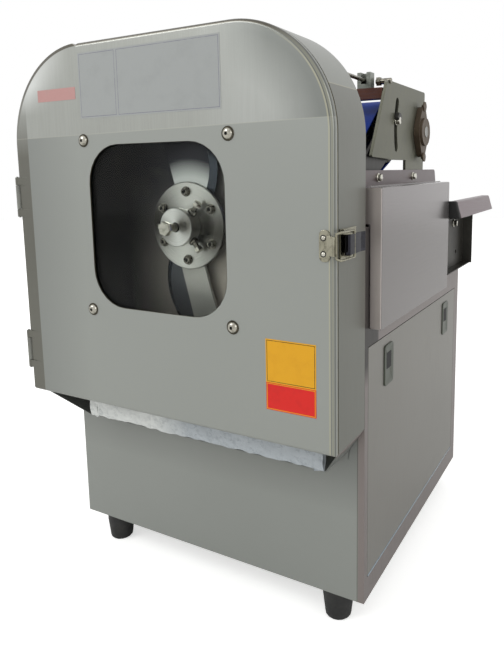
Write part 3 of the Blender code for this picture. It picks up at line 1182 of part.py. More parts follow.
PLATE_LEFT = CONVEYOR_LEFT + CONVEYOR_WALL + CLEAR
PLATE_RIGHT = CONVEYOR_RIGHT - CONVEYOR_WALL - CLEAR
ARM_GAP = 0.003
GEAR_WIDTH = 0.006
SLOT_RADIUS = 0.100
SLOT_HALF_WIDTH = 0.006
SLOT_LOW = -14
SLOT_HIGH = 20
STOP_ANGLE = 8
STOP_BOLT_RADIUS = 0.004
BAR_Y = PIVOT_Y - 0.135
BAR_LEVEL = 0.594
BAR_HALF = 0.007
TIE_RADIUS = 0.006
PLATE_RISE = 0.059
PLATE_FLANGE = 0.012
BEARING_HALF_HEIGHT = 0.047
BEARING_HALF_WIDTH = 0.027
BEARING_FLANGE = 0.008
BEARING_BOLT_HEAD = 0.0045
BEARING_BOLT_RISE = 0.036


def slot_loop():
    """The arc slot that limits the arms' swing, centred on the pivot."""
    y, z = PIVOT.y, PIVOT.z
    begin, end = 180 - SLOT_HIGH, 180 - SLOT_LOW
    points = arc(y, z, SLOT_RADIUS + SLOT_HALF_WIDTH, begin, end, 8)
    turn = math.radians(end)
    low = (y + SLOT_RADIUS * math.cos(turn), z + SLOT_RADIUS * math.sin(turn))
    points += arc(*low, SLOT_HALF_WIDTH, end, end + 180, 6)[1:-1]
    points += arc(y, z, SLOT_RADIUS - SLOT_HALF_WIDTH, end, begin, 8)
    turn = math.radians(begin)
    high = (y + SLOT_RADIUS * math.cos(turn), z + SLOT_RADIUS * math.sin(turn))
    points += arc(*high, SLOT_HALF_WIDTH, begin + 180, begin + 360, 6)[1:-1]
    return points


def press_plate(label, near, far, flange_side):
    """One cheek of the press unit, with its top flange, arc slot and leg in the trough."""
    y, z = PIVOT.y, PIVOT.z
    top = z + PLATE_RISE
    outline = fillets([(y - 0.187, z - 0.038, 0.002), (y - 0.127, z - 0.040, 0.004),
                       (y - 0.115, z - 0.052, 0.002), (y - 0.115, z - 0.082, 0.006),
                       (y + 0.020, z - 0.082, 0.006), (y + 0.026, z - 0.052, 0.002),
                       (y + 0.030, top, 0.004), (y - 0.133, top, 0.006)], 3)
    loops = [outline, slot_loop(), circle(PIVOT.y, PIVOT.z, PIVOT_SHAFT_RADIUS + RUN, 16)]
    plate = cut_out(f"press_plate_{label}", "YZ", loops, near, far, DARK_STEEL)
    low, high = (near, far + PLATE_FLANGE) if flange_side > 0 else (near - PLATE_FLANGE, far)
    flange = box(f"press_flange_{label}", (low, y - 0.127, top - 0.0025), (high, y + 0.027, top - 0.0001),
                 DARK_STEEL, cutter=True)
    boolean(plate, [flange], "UNION")


def press_bearing(label, near, far):
    """Two-bolt flange bearing on the outside of a cheek."""
    y, z = PIVOT.y, PIVOT.z
    tall, wide = BEARING_HALF_HEIGHT, BEARING_HALF_WIDTH
    outline = fillets([(y, z - tall, 0.011), (y + wide, z, 0.020), (y, z + tall, 0.011),
                       (y - wide, z, 0.020)], 4)
    out = 1 if far > near else -1
    flange = near + out * BEARING_FLANGE
    bearing = cut_out(f"press_bearing_{label}", "YZ", [outline], near, flange, CAST)
    bm = bmesh.new()
    add_rod(bm, (flange - out * 0.004, y, z), (far, y, z), 0.020, 16)
    for step in (-1, 1):
        bolt_place = facing((flange - out * 0.0003, y, z + step * BEARING_BOLT_RISE), (out, 0, 0))
        add_bolt(bm, bolt_place, 0.013, BEARING_BOLT_HEAD, 0.003, 0.003)
    boss_mesh = mesh_from(bm, f"bearing_boss_{label}")
    boss = add_object(f"bearing_boss_{label}", boss_mesh, CAST, (0, 0, 0), cutter=True)
    boolean(bearing, [boss], "UNION")
    boolean(bearing, [rod(f"bearing_bore_{label}", (near - out * 0.020, y, z), (far + out * 0.020, y, z),
                          PIVOT_SHAFT_RADIUS + CLEAR, CAST, 12, cutter=True)])


def gear_outline(centre_y, centre_z, phase):
    """Spur gear outline: flanks drawn as straight lines between root and tip."""
    module = 2 * GEAR_PITCH_RADIUS / GEAR_TEETH
    tip = GEAR_PITCH_RADIUS + 0.8 * module
    root = GEAR_PITCH_RADIUS - 1.15 * module
    points = []
    for i in range(GEAR_TEETH):
        for part, radius in ((-0.30, root), (-0.11, tip), (0.11, tip), (0.30, root)):
            angle = 2 * math.pi * (i + part + phase) / GEAR_TEETH
            points.append((centre_y + radius * math.cos(angle), centre_z + radius * math.sin(angle)))
    return points


def press_unit():
    """Cheeks, bearings, swinging arms with the upper press belt, and its gear drive."""
    press_plate("left", PLATE_LEFT, PLATE_LEFT + PRESS_PLATE, 1)
    press_plate("right", PLATE_RIGHT - PRESS_PLATE, PLATE_RIGHT, -1)
    press_bearing("left", PLATE_LEFT - CLEAR, PLATE_LEFT - 0.0130)
    press_bearing("right", PLATE_RIGHT + CLEAR, PLATE_RIGHT + 0.0173)
    swing = pivot_empty("press_arm_hinge", PIVOT + Vector((FEED_MIDDLE, 0, 0)))
    arms(swing)
    shaft_spin = pivot_empty("pivot_shaft_spin", PIVOT + Vector((FEED_MIDDLE, 0, 0)), swing)
    left_end = PRESS_CHAIN_LEFT
    shaft = rod("pivot_shaft", (left_end, PIVOT.y, PIVOT.z), (PLATE_RIGHT + 0.0190, PIVOT.y, PIVOT.z),
                PIVOT_SHAFT_RADIUS, DARK_STEEL, 14, parent=shaft_spin)
    gear_left = PLATE_LEFT + PRESS_PLATE + ARM_GAP + ARM_THICK + 0.0015
    rise = PRESS_AXIS - PIVOT
    lean = math.degrees(math.atan2(rise.z, rise.y))
    teeth = GEAR_TEETH * lean / 360
    gear_right = gear_left + GEAR_WIDTH
    gear = cut_out("pivot_gear", "YZ", [gear_outline(PIVOT.y, PIVOT.z, teeth)], gear_left, gear_right,
                   DARK_STEEL, parent=shaft_spin, cutter=True, smooth=False)
    wheel_left = PRESS_CHAIN_LEFT + (CHAIN_THICK - SPROCKET_WIDTH) / 2
    wheel = sprocket("pivot_wheel", PIVOT.y, PIVOT.z, wheel_left, PIVOT_WHEEL_TEETH, shaft_spin)
    boolean(shaft, [gear, wheel], "UNION")
    drum_spin = pivot_empty("press_drive_spin", PRESS_AXIS + Vector((FEED_MIDDLE, 0, 0)), swing)
    half = PRESS_BELT_HALF + 0.001
    drum = rod("press_drive_roller", PRESS_AXIS + Vector((FEED_MIDDLE - half, 0, 0)),
               PRESS_AXIS + Vector((FEED_MIDDLE + half, 0, 0)), PRESS_ROLLER_RADIUS, DARK_STEEL, 28,
               parent=drum_spin)
    arm_left = PLATE_LEFT + PRESS_PLATE + ARM_GAP
    arm_right = PLATE_RIGHT - PRESS_PLATE - ARM_GAP
    axle = rod("press_drive_axle", PRESS_AXIS + Vector((arm_left, 0, 0)),
               PRESS_AXIS + Vector((arm_right, 0, 0)), ROLLER_SHAFT_RADIUS, DARK_STEEL, 16,
               parent=drum_spin, cutter=True)
    in_mesh = teeth + GEAR_TEETH / 2 + 0.5
    mate = cut_out("press_gear", "YZ", [gear_outline(PRESS_AXIS.y, PRESS_AXIS.z, in_mesh)], gear_left,
                   gear_right, DARK_STEEL, parent=drum_spin, cutter=True, smooth=False)
    boolean(drum, [axle, mate], "UNION")
    tip_spin = pivot_empty("press_front_spin", PRESS_TIP + Vector((FEED_MIDDLE, 0, 0)), swing)
    tip = rod("press_front_roller", PRESS_TIP + Vector((FEED_MIDDLE - half, 0, 0)),
              PRESS_TIP + Vector((FEED_MIDDLE + half, 0, 0)), PRESS_TIP_RADIUS, DARK_STEEL, 20,
              parent=tip_spin)
    pin = rod("press_front_axle", PRESS_TIP + Vector((arm_left, 0, 0)), PRESS_TIP + Vector((arm_right, 0, 0)),
              ROLLER_SHAFT_RADIUS, DARK_STEEL, 16, parent=tip_spin, cutter=True)
    boolean(tip, [pin], "UNION")
    belt("press_belt", "YZ", (PRESS_AXIS.y, PRESS_AXIS.z), PRESS_ROLLER_RADIUS, (PRESS_TIP.y, PRESS_TIP.z),
         PRESS_TIP_RADIUS, BELT_SHEET, FEED_MIDDLE - PRESS_BELT_HALF, FEED_MIDDLE + PRESS_BELT_HALF,
         BLUE_BELT, 16, parent=swing)
    cross_bar()
    lift_lever()


def arms(swing):
    """Two swinging arms tied by a cross tube, with stub bolts in the cheeks' slots."""
    angle = math.radians(180 - STOP_ANGLE)
    stop = PIVOT + Vector((0, SLOT_RADIUS * math.cos(angle), SLOT_RADIUS * math.sin(angle)))
    outline = fillets([
        (PIVOT.y + 0.015, PIVOT.z - 0.014, 0.013), (PIVOT.y + 0.015, PIVOT.z + 0.015, 0.013),
        (stop.y + 0.004, stop.z + 0.013, 0.010), (stop.y - 0.013, stop.z + 0.003, 0.008),
        (PRESS_TIP.y - 0.004, PRESS_TIP.z + 0.016, 0.010), (PRESS_TIP.y - 0.014, PRESS_TIP.z - 0.003, 0.010),
        (PRESS_TIP.y + 0.006, PRESS_TIP.z - 0.013, 0.010),
        (PRESS_AXIS.y + 0.004, PRESS_AXIS.z - 0.018, 0.020),
    ], 3)
    loops = [outline, circle(PIVOT.y, PIVOT.z, PIVOT_SHAFT_RADIUS + CLEAR, 14),
             circle(PRESS_AXIS.y, PRESS_AXIS.z, ROLLER_SHAFT_RADIUS + CLEAR, 12),
             circle(PRESS_TIP.y, PRESS_TIP.z, ROLLER_SHAFT_RADIUS + CLEAR, 12)]
    left = PLATE_LEFT + PRESS_PLATE + ARM_GAP
    right = PLATE_RIGHT - PRESS_PLATE - ARM_GAP
    frame = cut_out("press_arms", "YZ", loops, left, left + ARM_THICK, DARK_STEEL, parent=swing)
    other = cut_out("press_arm_other", "YZ", loops, right - ARM_THICK, right, DARK_STEEL, parent=swing,
                    cutter=True)
    tie_place = PRESS_AXIS.lerp(PRESS_TIP, 0.52)
    bm = bmesh.new()
    add_rod(bm, tie_place + Vector((left + 0.001, 0, 0)), tie_place + Vector((right - 0.001, 0, 0)),
            TIE_RADIUS, 16)
    for seat, inside, out in ((PLATE_LEFT - 0.0005, left + ARM_THICK / 2, -1),
                              (PLATE_RIGHT + 0.0005, right - ARM_THICK / 2, 1)):
        add_bolt(bm, facing((seat, stop.y, stop.z), (out, 0, 0)), 0.013, 0.0055, STOP_BOLT_RADIUS,
                 abs(seat - inside))
    extras = add_object("press_tie_and_bolts", mesh_from(bm, "press_tie_and_bolts"), DARK_STEEL, (0, 0, 0),
                        parent=swing, cutter=True)
    boolean(frame, [extras, other], "UNION")


LEVER_X = 0.159
BLOCK_HALF = 0.009
BLOCK_TOP = BAR_LEVEL + 0.027
LEVER_LEVEL = FOOT_HEIGHT + BLOCK_TOP - 0.010
LEVER_WIRE = 0.0025
LEVER_AXLE = 0.002
LEVER_SLOT = 0.0035
LEVER_REACH = 0.072
HANDLE_REACH = 0.104
HANDLE_RISE = 0.010


def cross_bar():
    """Square bar between the cheeks, with the lever's block on it."""
    z = FOOT_HEIGHT + BAR_LEVEL
    inner_left = PLATE_LEFT + PRESS_PLATE + CLEAR
    inner_right = PLATE_RIGHT - PRESS_PLATE - CLEAR
    front, back = BAR_Y - BAR_HALF, BAR_Y + BAR_HALF
    top = FOOT_HEIGHT + BLOCK_TOP
    bar = box("press_cross_bar", (inner_left, front, z - BAR_HALF), (inner_right, back, z + BAR_HALF), STEEL)
    block = box("lever_block", (LEVER_X - BLOCK_HALF, front, z + BAR_HALF - 0.001),
                (LEVER_X + BLOCK_HALF, back, top), STEEL, cutter=True)
    slot = box("lever_slot", (LEVER_X - LEVER_SLOT, front - 0.013, LEVER_LEVEL - 0.0045),
               (LEVER_X + LEVER_SLOT, BAR_Y + 0.004, top + 0.019), STEEL, cutter=True)
    bore = rod("lever_block_bore", (LEVER_X - BLOCK_HALF + 0.002, BAR_Y, LEVER_LEVEL),
               (LEVER_X + BLOCK_HALF - 0.002, BAR_Y, LEVER_LEVEL), LEVER_AXLE + CLEAR, STEEL, 12, cutter=True)
    boolean(bar, [block], "UNION")
    boolean(bar, [slot, bore])


def lift_lever():
    """Bent wire lever that turns in its block."""
    z = LEVER_LEVEL
    turn = pivot_empty("lift_lever_hinge", (LEVER_X, BAR_Y, z))
    bend = BAR_Y - LEVER_REACH
    axle_half = BLOCK_HALF - 0.0025
    lever = rod("lift_lever", (LEVER_X, BAR_Y, z), (LEVER_X, bend, z + 0.001), LEVER_WIRE, BRIGHT, 12,
                parent=turn)
    handle = rod("lever_handle", (LEVER_X, bend + 0.0015, z - 0.0005),
                 (LEVER_X + 0.004, BAR_Y - HANDLE_REACH, z + HANDLE_RISE), LEVER_WIRE, BRIGHT, 12,
                 parent=turn, cutter=True)
    axle = rod("lever_axle", (LEVER_X - axle_half, BAR_Y, z), (LEVER_X + axle_half, BAR_Y, z), LEVER_AXLE,
               BRIGHT, 12, parent=turn, cutter=True)
    boolean(lever, [handle, axle], "UNION")


# Start and stop buttons on the left wall

def controls():
    face = -HALF - CLEAR
    plate_out = face - 0.002
    middle = (SWITCH_LOW + SWITCH_HIGH) / 2
    stem = BUTTON_RADIUS * 0.65
    buttons = (("start_button", SWITCH_FRONT + SWITCH_EDGE, GREEN),
               ("stop_button", SWITCH_BACK - SWITCH_EDGE, RED))
    loops = [rectangle(SWITCH_FRONT, SWITCH_LOW, SWITCH_BACK, SWITCH_HIGH, 0.004, 3)]
    loops += [circle(y, middle, stem + CLEAR, 16) for _, y, _ in buttons]
    cut_out("control_plate", "YZ", loops, plate_out, face, PALE)
    for name, y, look in buttons:
        slide = pivot_empty(f"{name}_slide", (plate_out, y, middle))
        under = plate_out - BUTTON_TRAVEL - CLEAR
        profile = [(0, 0.009), (BUTTON_RADIUS * 0.7, 0.009), (BUTTON_RADIUS, 0.006), (BUTTON_RADIUS, 0),
                   (stem, 0), (stem, -BUTTON_TRAVEL - 0.012), (0, -BUTTON_TRAVEL - 0.012)]
        turned(name, [(r, -h) for r, h in reversed(profile)], (under, y, middle), "X", look, 20, parent=slide)


cabinet_shell()
deck_left()
drive_cover()
feet()
side_panel(-1, "left")
side_panel(1, "right")
rear_panel()
cutter_housing()
discharge_chute()
chute_film()
door()
latch()
side_cover()
tray_support(-1, "left")
tray_support(1, "right")
pulley_front = cutter()
bearing_cartridge()
cutter_drive(pulley_front)
conveyor()
press_unit()
controls()
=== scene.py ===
# %% [markdown]
# # Dressing a vegetable cutting machine
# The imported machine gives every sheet, shaft and belt in metres, standing on z = 0 with its door
# towards -Y. It could be modelled again from nothing, but loading it keeps each piece where the
# joints need it. This lesson adds edges, fasteners and finishes, and draws a few pieces anew.

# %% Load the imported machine
import json
import math
from contextlib import contextmanager

import bmesh
import bpy
from mathutils import Matrix, Vector

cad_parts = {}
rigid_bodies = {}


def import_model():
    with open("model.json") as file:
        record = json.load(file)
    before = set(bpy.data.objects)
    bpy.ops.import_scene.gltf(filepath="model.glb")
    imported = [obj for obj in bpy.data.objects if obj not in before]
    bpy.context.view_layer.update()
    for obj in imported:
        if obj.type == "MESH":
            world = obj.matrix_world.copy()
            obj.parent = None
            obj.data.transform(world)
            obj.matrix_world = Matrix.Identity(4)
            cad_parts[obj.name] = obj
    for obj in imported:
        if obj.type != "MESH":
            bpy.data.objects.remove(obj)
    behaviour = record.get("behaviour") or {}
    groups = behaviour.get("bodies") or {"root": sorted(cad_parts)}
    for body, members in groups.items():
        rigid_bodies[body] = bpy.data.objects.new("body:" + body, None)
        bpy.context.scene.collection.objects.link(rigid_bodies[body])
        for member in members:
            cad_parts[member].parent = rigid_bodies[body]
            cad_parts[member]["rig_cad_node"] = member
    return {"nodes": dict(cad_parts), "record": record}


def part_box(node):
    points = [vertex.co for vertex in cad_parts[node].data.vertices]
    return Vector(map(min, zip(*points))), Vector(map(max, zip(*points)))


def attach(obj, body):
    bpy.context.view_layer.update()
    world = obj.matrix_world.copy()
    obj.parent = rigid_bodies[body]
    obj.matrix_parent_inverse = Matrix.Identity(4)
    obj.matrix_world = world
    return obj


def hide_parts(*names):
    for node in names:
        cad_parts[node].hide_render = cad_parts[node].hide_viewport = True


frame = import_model()
NODES = frame["nodes"]
GROUPS = frame["record"]["behaviour"]["bodies"]
BODY_OF = {node: body for body, names in GROUPS.items() for node in names}
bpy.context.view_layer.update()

# %% [markdown]
# ## Places on the machine
# A fitter measures from a few datum faces: the door's front, the axis of the cutter, the top of the
# cabinet. The same few numbers place every screw and label here, so nothing is placed by eye.

# %% Datum faces and axes
DOOR_FRONT = -0.304
CUTTER_Z = 0.475
HEAD_HALF = 0.220
HEAD_TOP = 0.688
HEAD_BOTTOM = 0.254
ARCH = 0.115
WINDOW_HALF = 0.096
WINDOW_Z = 0.476
FILM_EDGE_Z = 0.585
HOUSING_FILM_Z = 0.620
INSIDE = Vector((0.0, DOOR_FRONT + 0.045, CUTTER_Z))
PROUD_X = 0.22005
PULLS_ALONG = (-0.149, 0.110)
SIDES = ((-1, "left"), (1, "right"))
FORWARDS = (0, -1, 0)
ROLL_START_X = -0.1060
print("door front at", DOOR_FRONT, "cutter axis at", CUTTER_Z)

# %% [markdown]
# ## A few habits of the bench
# Blender's operators act on what is selected, like hand tools act on what is in the vice. These
# helpers clamp one piece, pick faces by their place, and let go again. The other way is to write
# vertices straight into a mesh, which is faster but hides the steps a modeller would take.


# %% Clamp, pick and release
def empty_bench():
    """Leave edit mode and select nothing, before a primitive is added."""
    if bpy.context.object is not None and bpy.context.object.mode != "OBJECT":
        bpy.ops.object.mode_set(mode="OBJECT")
    bpy.ops.object.select_all(action="DESELECT")


def alone(piece):
    """Select one piece and nothing else, in object mode."""
    empty_bench()
    piece.select_set(True)
    bpy.context.view_layer.objects.active = piece
    return piece


@contextmanager
def opened(piece):
    """Edit mode on one piece, for as long as the block lasts."""
    alone(piece)
    bpy.ops.object.mode_set(mode="EDIT")
    yield piece
    bpy.ops.object.mode_set(mode="OBJECT")


def pick(piece, kind, wanted):
    """In edit mode, select the faces, edges or vertices that pass a test."""
    bpy.ops.mesh.select_mode(type=kind)
    bpy.ops.mesh.select_all(action="DESELECT")
    shape = bmesh.from_edit_mesh(piece.data)
    parts = {"FACE": shape.faces, "EDGE": shape.edges, "VERT": shape.verts}[kind]
    for part in parts:
        part.select_set(wanted(part))
    shape.select_flush_mode()
    bmesh.update_edit_mesh(piece.data)


def weld(gap=2e-6):
    """In edit mode, select everything and merge doubled points."""
    bpy.ops.mesh.select_all(action="SELECT")
    bpy.ops.mesh.remove_doubles(threshold=gap)


def join_flats(slivers=True):
    """In edit mode, weld, drop slivers and join the faces of one plane."""
    weld()
    if slivers:
        bpy.ops.mesh.dissolve_degenerate(threshold=1e-6)
    bpy.ops.mesh.dissolve_limited(angle_limit=math.radians(0.4))


def squash(piece, wanted, scale, centre):
    """In edit mode, scale the picked points about a centre."""
    pick(piece, "VERT", wanted)
    bpy.ops.transform.resize(value=scale, center_override=centre)


def bevel(piece, kind, wanted, width, steps=2):
    """In edit mode, bevel the picked edges, or the edges of the picked faces."""
    pick(piece, kind, wanted)
    bpy.ops.mesh.bevel(offset=width, segments=steps, affect="EDGES")


def sharp(edge):
    """Whether an edge is a corner and not a seam."""
    return edge.calc_face_angle(0.0) > 0.6


def middle_of(face):
    """A face's middle."""
    return face.calc_center_median()


def off_axis(face, x, z):
    """How far a face's middle is from a line along Y."""
    return math.hypot(middle_of(face).x - x, middle_of(face).z - z)


def settle(piece, name):
    """Name a piece and move its place from the object into the mesh."""
    alone(piece)
    piece.name = name
    piece.data.name = name
    bpy.ops.object.transform_apply(location=True, rotation=True, scale=True)
    return piece


def mend(piece):
    """Merge doubled points, then turn every face outwards."""
    with opened(piece):
        weld(1e-6)
        bpy.ops.mesh.normals_make_consistent(inside=False)


def apply_all(piece):
    """Apply the modifiers in their order."""
    alone(piece)
    for modifier in [m.name for m in piece.modifiers]:
        bpy.ops.object.modifier_apply(modifier=modifier)
    return piece


def fit(piece, body, slot, *materials, stands_for=(), smooth=32):
    """Give a finished piece its materials and its place among the machine's bodies."""
    alone(piece)
    if materials:
        piece.data.materials.clear()
        for material in materials:
            piece.data.materials.append(material)
    bpy.ops.object.shade_smooth_by_angle(angle=math.radians(smooth))
    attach(piece, body)
    if stands_for:
        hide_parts(*stands_for)
    return piece


print("bench ready")

# %% [markdown]
# ## Colours
# A colour picker gives display values, and Blender's sockets want linear light. Typing linear
# numbers by hand is error-prone, so one small function turns a familiar six-digit colour into them.


# %% Colour from six digits
def colour(digits):
    """Linear RGBA from a display colour such as 959893."""
    values = [int(digits[i:i + 2], 16) / 255 for i in (0, 2, 4)]
    return (*[v / 12.92 if v <= 0.04045 else ((v + 0.055) / 1.055) ** 2.4 for v in values], 1.0)


print("film grey is", [round(v, 3) for v in colour("959893")])

# %% [markdown]
# ## Wiring a material
# Materials here are small node trees. One helper adds a node and sets or links its sockets by name,
# and sums, ranges and bands get a word each, because the finishes are mostly made of them. Wiring in
# the shader editor gives the same trees, but a lesson can't be read from them.


# %% Node helpers
def add(tree, kind, settings=None, **sockets):
    """Add one shader node, with its settings and its sockets."""
    made = tree.nodes.new("ShaderNode" + kind)
    for key, value in (settings or {}).items():
        setattr(made, key, value)
    return feed(tree, made, **sockets)


def feed(tree, made, **sockets):
    """Set or link sockets by name: an underscore stands for a space, and in_0 is the first.

    A node stands for its first output, and text for the colour that it spells.
    """
    for key, value in sockets.items():
        target = made.inputs[int(key[3:]) if key.startswith("in_") else key.replace("_", " ")]
        if isinstance(value, bpy.types.Node):
            value = value.outputs[0]
        if isinstance(value, bpy.types.NodeSocket):
            tree.links.new(value, target)
        else:
            target.default_value = colour(value) if isinstance(value, str) else value
    return made


def group(name, inputs, outputs):
    """A new node group, with the sockets it takes in and the node that takes its results."""
    tree = bpy.data.node_groups.new(name, "ShaderNodeTree")
    for label, value in inputs.items():
        kind = "NodeSocketFloat" if isinstance(value, float) else "NodeSocketVector"
        tree.interface.new_socket(label, in_out="INPUT", socket_type=kind).default_value = value
    for label in outputs:
        tree.interface.new_socket(label, in_out="OUTPUT", socket_type="NodeSocketFloat")
    return tree, tree.nodes.new("NodeGroupInput").outputs, tree.nodes.new("NodeGroupOutput")


def use(tree, shared, **sockets):
    """Place a shared group in a material."""
    return add(tree, "Group", {"node_tree": shared}, **sockets)


def tree_of(*values):
    """The tree of the first node or socket among some values."""
    return next(v.id_data for v in values if isinstance(v, (bpy.types.Node, bpy.types.NodeSocket)))


def maths(operation, *values):
    """One sum on one, two or three numbers."""
    sockets = {f"in_{number}": value for number, value in enumerate(values)}
    return add(tree_of(*values), "Math", {"operation": operation}, **sockets)


def times(first, second):
    """The product of two numbers."""
    return maths("MULTIPLY", first, second)


def length(vector):
    """A vector's length."""
    return add(tree_of(vector), "VectorMath", {"operation": "LENGTH"}, in_0=vector).outputs["Value"]


def away(point, centre):
    """A point measured from a centre."""
    return add(tree_of(point), "VectorMath", {"operation": "SUBTRACT"}, in_0=point, in_1=centre)


def ramp(value, low, high, start=0.0, end=1.0):
    """A number that runs from start to end while the value runs from low to high."""
    limits = {"From_Min": low, "From_Max": high, "To_Min": start, "To_Max": end}
    return add(tree_of(value), "MapRange", Value=value, **limits)


def spread(value, low, high):
    """A number from 0 to 1 laid over another range."""
    return ramp(value, 0.0, 1.0, low, high)


def band(value, low, high, soft=0.0003):
    """One between two levels, with soft sides."""
    rise = ramp(value, low - soft, low + soft)
    return times(rise, ramp(value, high - soft, high + soft, 1.0, 0.0))


def mix(amount, first, second):
    """A colour between two colours."""
    tree = tree_of(amount, first, second)
    return add(tree, "Mix", {"data_type": "RGBA"}, in_0=amount, in_6=first, in_7=second).outputs[2]


def layers(tone, *coats):
    """Lay colours over a tone in turn, each with its own share."""
    for share, digits in coats:
        tone = mix(share, tone, digits)
    return tone


def point_in(tree):
    """The shaded point, read from the piece."""
    return add(tree, "TexCoord").outputs["Object"]


def axes_in(tree):
    """X, Y and Z of the shaded point."""
    return add(tree, "SeparateXYZ", Vector=point_in(tree)).outputs


print("node helpers ready")

# %% [markdown]
# ## Brushed grain
# Stainless sheet is brushed along one direction, which leaves fine streaks that lift and drop the
# gloss. Stretching a noise along one axis gives such streaks and follows the piece, since it reads
# Object coordinates. An image of brushed metal would repeat and could not be exported as a recipe.

# %% Shared group: grain
GRAIN, start, end = group("grain", {"Stretch": (40.0, 40.0, 2.0), "Fine": 14.0}, ("Streaks", "Cloud"))
where = point_in(GRAIN)
long_way = add(GRAIN, "Mapping", Vector=where, Scale=start["Stretch"])
streaks = add(GRAIN, "TexNoise", Vector=long_way, Scale=start["Fine"], Detail=3.0)
cloud = add(GRAIN, "TexNoise", Vector=where, Scale=5.0, Detail=2.0)
feed(GRAIN, end, Streaks=streaks, Cloud=cloud)
print("grain group:", len(GRAIN.nodes), "nodes")

# %% [markdown]
# ## Smudges and scuffs
# Handling leaves greasy prints and short scuffs. A coarse noise decides where they gather and a
# finer one breaks them up. Painting each by hand is possible, but a mask like this suits any sheet.

# %% Shared group: smudge
SMUDGE, start, end = group("smudge", {"Size": 12.0, "Cover": 0.5}, ("Mask",))
broad = add(SMUDGE, "TexNoise", Vector=point_in(SMUDGE), Scale=start["Size"], Detail=5.0, Roughness=0.65)
past = maths("SUBTRACT", broad, maths("SUBTRACT", 1.0, start["Cover"]))
mask = add(SMUDGE, "Math", {"operation": "MULTIPLY", "use_clamp": True}, in_0=past, in_1=5.0)
feed(SMUDGE, end, Mask=mask)
print("smudge group:", len(SMUDGE.nodes), "nodes")

# %% [markdown]
# ## Turned rings
# A face cut on a lathe carries fine rings round its axis, and light on them makes the bright and
# dark fans seen on a new disc. The rings come from the distance to the axis, and the fans from the
# angle round it. An anisotropic shader would also do it, but this also shows in the exported model.

# %% Shared group: turned face
TURNED, start, end = group("turned_face", {"Centre": (0.0, 0.0, 0.0), "Fans": 2.0, "Start": 0.0},
                           ("Rings", "Fan"))
parts = add(TURNED, "SeparateXYZ", Vector=away(point_in(TURNED), start["Centre"])).outputs
reach = length(add(TURNED, "CombineXYZ", X=parts["X"], Z=parts["Z"]))
rings = add(TURNED, "TexNoise", {"noise_dimensions": "1D"}, W=times(reach, 1400.0), Scale=1.0,
            Detail=2.0)
angle = maths("ADD", maths("ARCTAN2", parts["Z"], parts["X"]), start["Start"])
wave = maths("COSINE", times(angle, start["Fans"]))
feed(TURNED, end, Rings=rings, Fan=ramp(wave, -1.0, 1.0))
print("turned group:", len(TURNED.nodes), "nodes")

# %% [markdown]
# ## Distance in from the head's outline
# The bands and lines round the door follow its arched edge. The head is a rectangle with two round
# corners, so the distance in from its edge takes a few sums on X and Z. A painted mask would need a
# picture, and this stays exact at any size.

# %% Shared group: distance from the arched edge
ARCHED, start, end = group("arched_edge", {"Half": HEAD_HALF, "Top": HEAD_TOP, "Round": ARCH},
                           ("Distance", "Side", "Height"))
parts = axes_in(ARCHED)
past = []
for run, far in ((maths("ABSOLUTE", parts["X"]), "Half"), (parts["Z"], "Top")):
    over = maths("SUBTRACT", run, maths("SUBTRACT", start[far], start["Round"]))
    past.append(maths("MAXIMUM", over, 0.0))
reach = length(add(ARCHED, "CombineXYZ", X=past[0], Z=past[1]))
feed(ARCHED, end, Distance=maths("SUBTRACT", start["Round"], reach), Side=parts["X"],
     Height=parts["Z"])
print("arched group:", len(ARCHED.nodes), "nodes")

# %% [markdown]
# ## Finishes for sheet metal
# Every sheet is the same stainless steel, but film, brushing, rolling and handling make each look
# different. One builder takes the colour pair, the direction of the grain and the gloss, so that the
# sheets stay relatives. The smudges change the tone, as grease does, and the streaks the gloss.

# %% Sheet steel builder
UPRIGHT, INWARDS, ACROSS = (60.0, 60.0, 1.5), (60.0, 1.5, 60.0), (1.5, 60.0, 60.0)
BLADE_GRAIN = (20.0, 60.0, 60.0)


def new_material(name):
    """An empty material with a Principled shader, returned with its tree."""
    made = bpy.data.materials.new(name)
    made.use_nodes = True
    made.node_tree.nodes.clear()
    shader = add(made.node_tree, "BsdfPrincipled")
    feed(made.node_tree, add(made.node_tree, "OutputMaterial"), Surface=shader)
    return made, made.node_tree


def finish(made, tone, metallic, marks, rough, height=None, bump=0.02, deep=0.001, **more):
    """Feed a material's shader its tone, metal and gloss, and a bump where there is a height."""
    tree = made.node_tree
    shader = tree.nodes["Principled BSDF"]
    feed(tree, shader, Base_Color=tone, Metallic=metallic, Roughness=spread(marks, *rough), **more)
    if height is not None:
        feed(tree, shader, Normal=add(tree, "Bump", Height=height, Strength=bump, Distance=deep))
    return made


def grain_in(tree, stretch=UPRIGHT):
    """The shared grain's streaks and its slow clouds."""
    made = use(tree, GRAIN, Stretch=stretch)
    return made.outputs["Streaks"], made.outputs["Cloud"]


def smudge_in(tree, size, cover=0.5):
    """The shared smudges."""
    return use(tree, SMUDGE, Size=size, Cover=cover)


def sheet_steel(name, light, dark, stretch=UPRIGHT, rough=(0.28, 0.42), metallic=0.75, bump=0.02,
                grime="6E6B62", cover=0.42, size=9.0):
    """Satin stainless sheet with streaks along one direction and faint handling marks."""
    made, tree = new_material(name)
    streaks, cloud = grain_in(tree, stretch)
    blend = maths("MULTIPLY_ADD", streaks, 0.5, times(cloud, 0.5))
    tone = layers(mix(blend, dark, light), (times(smudge_in(tree, size, cover), 0.22), grime))
    return finish(made, tone, metallic, streaks, rough, streaks, bump)


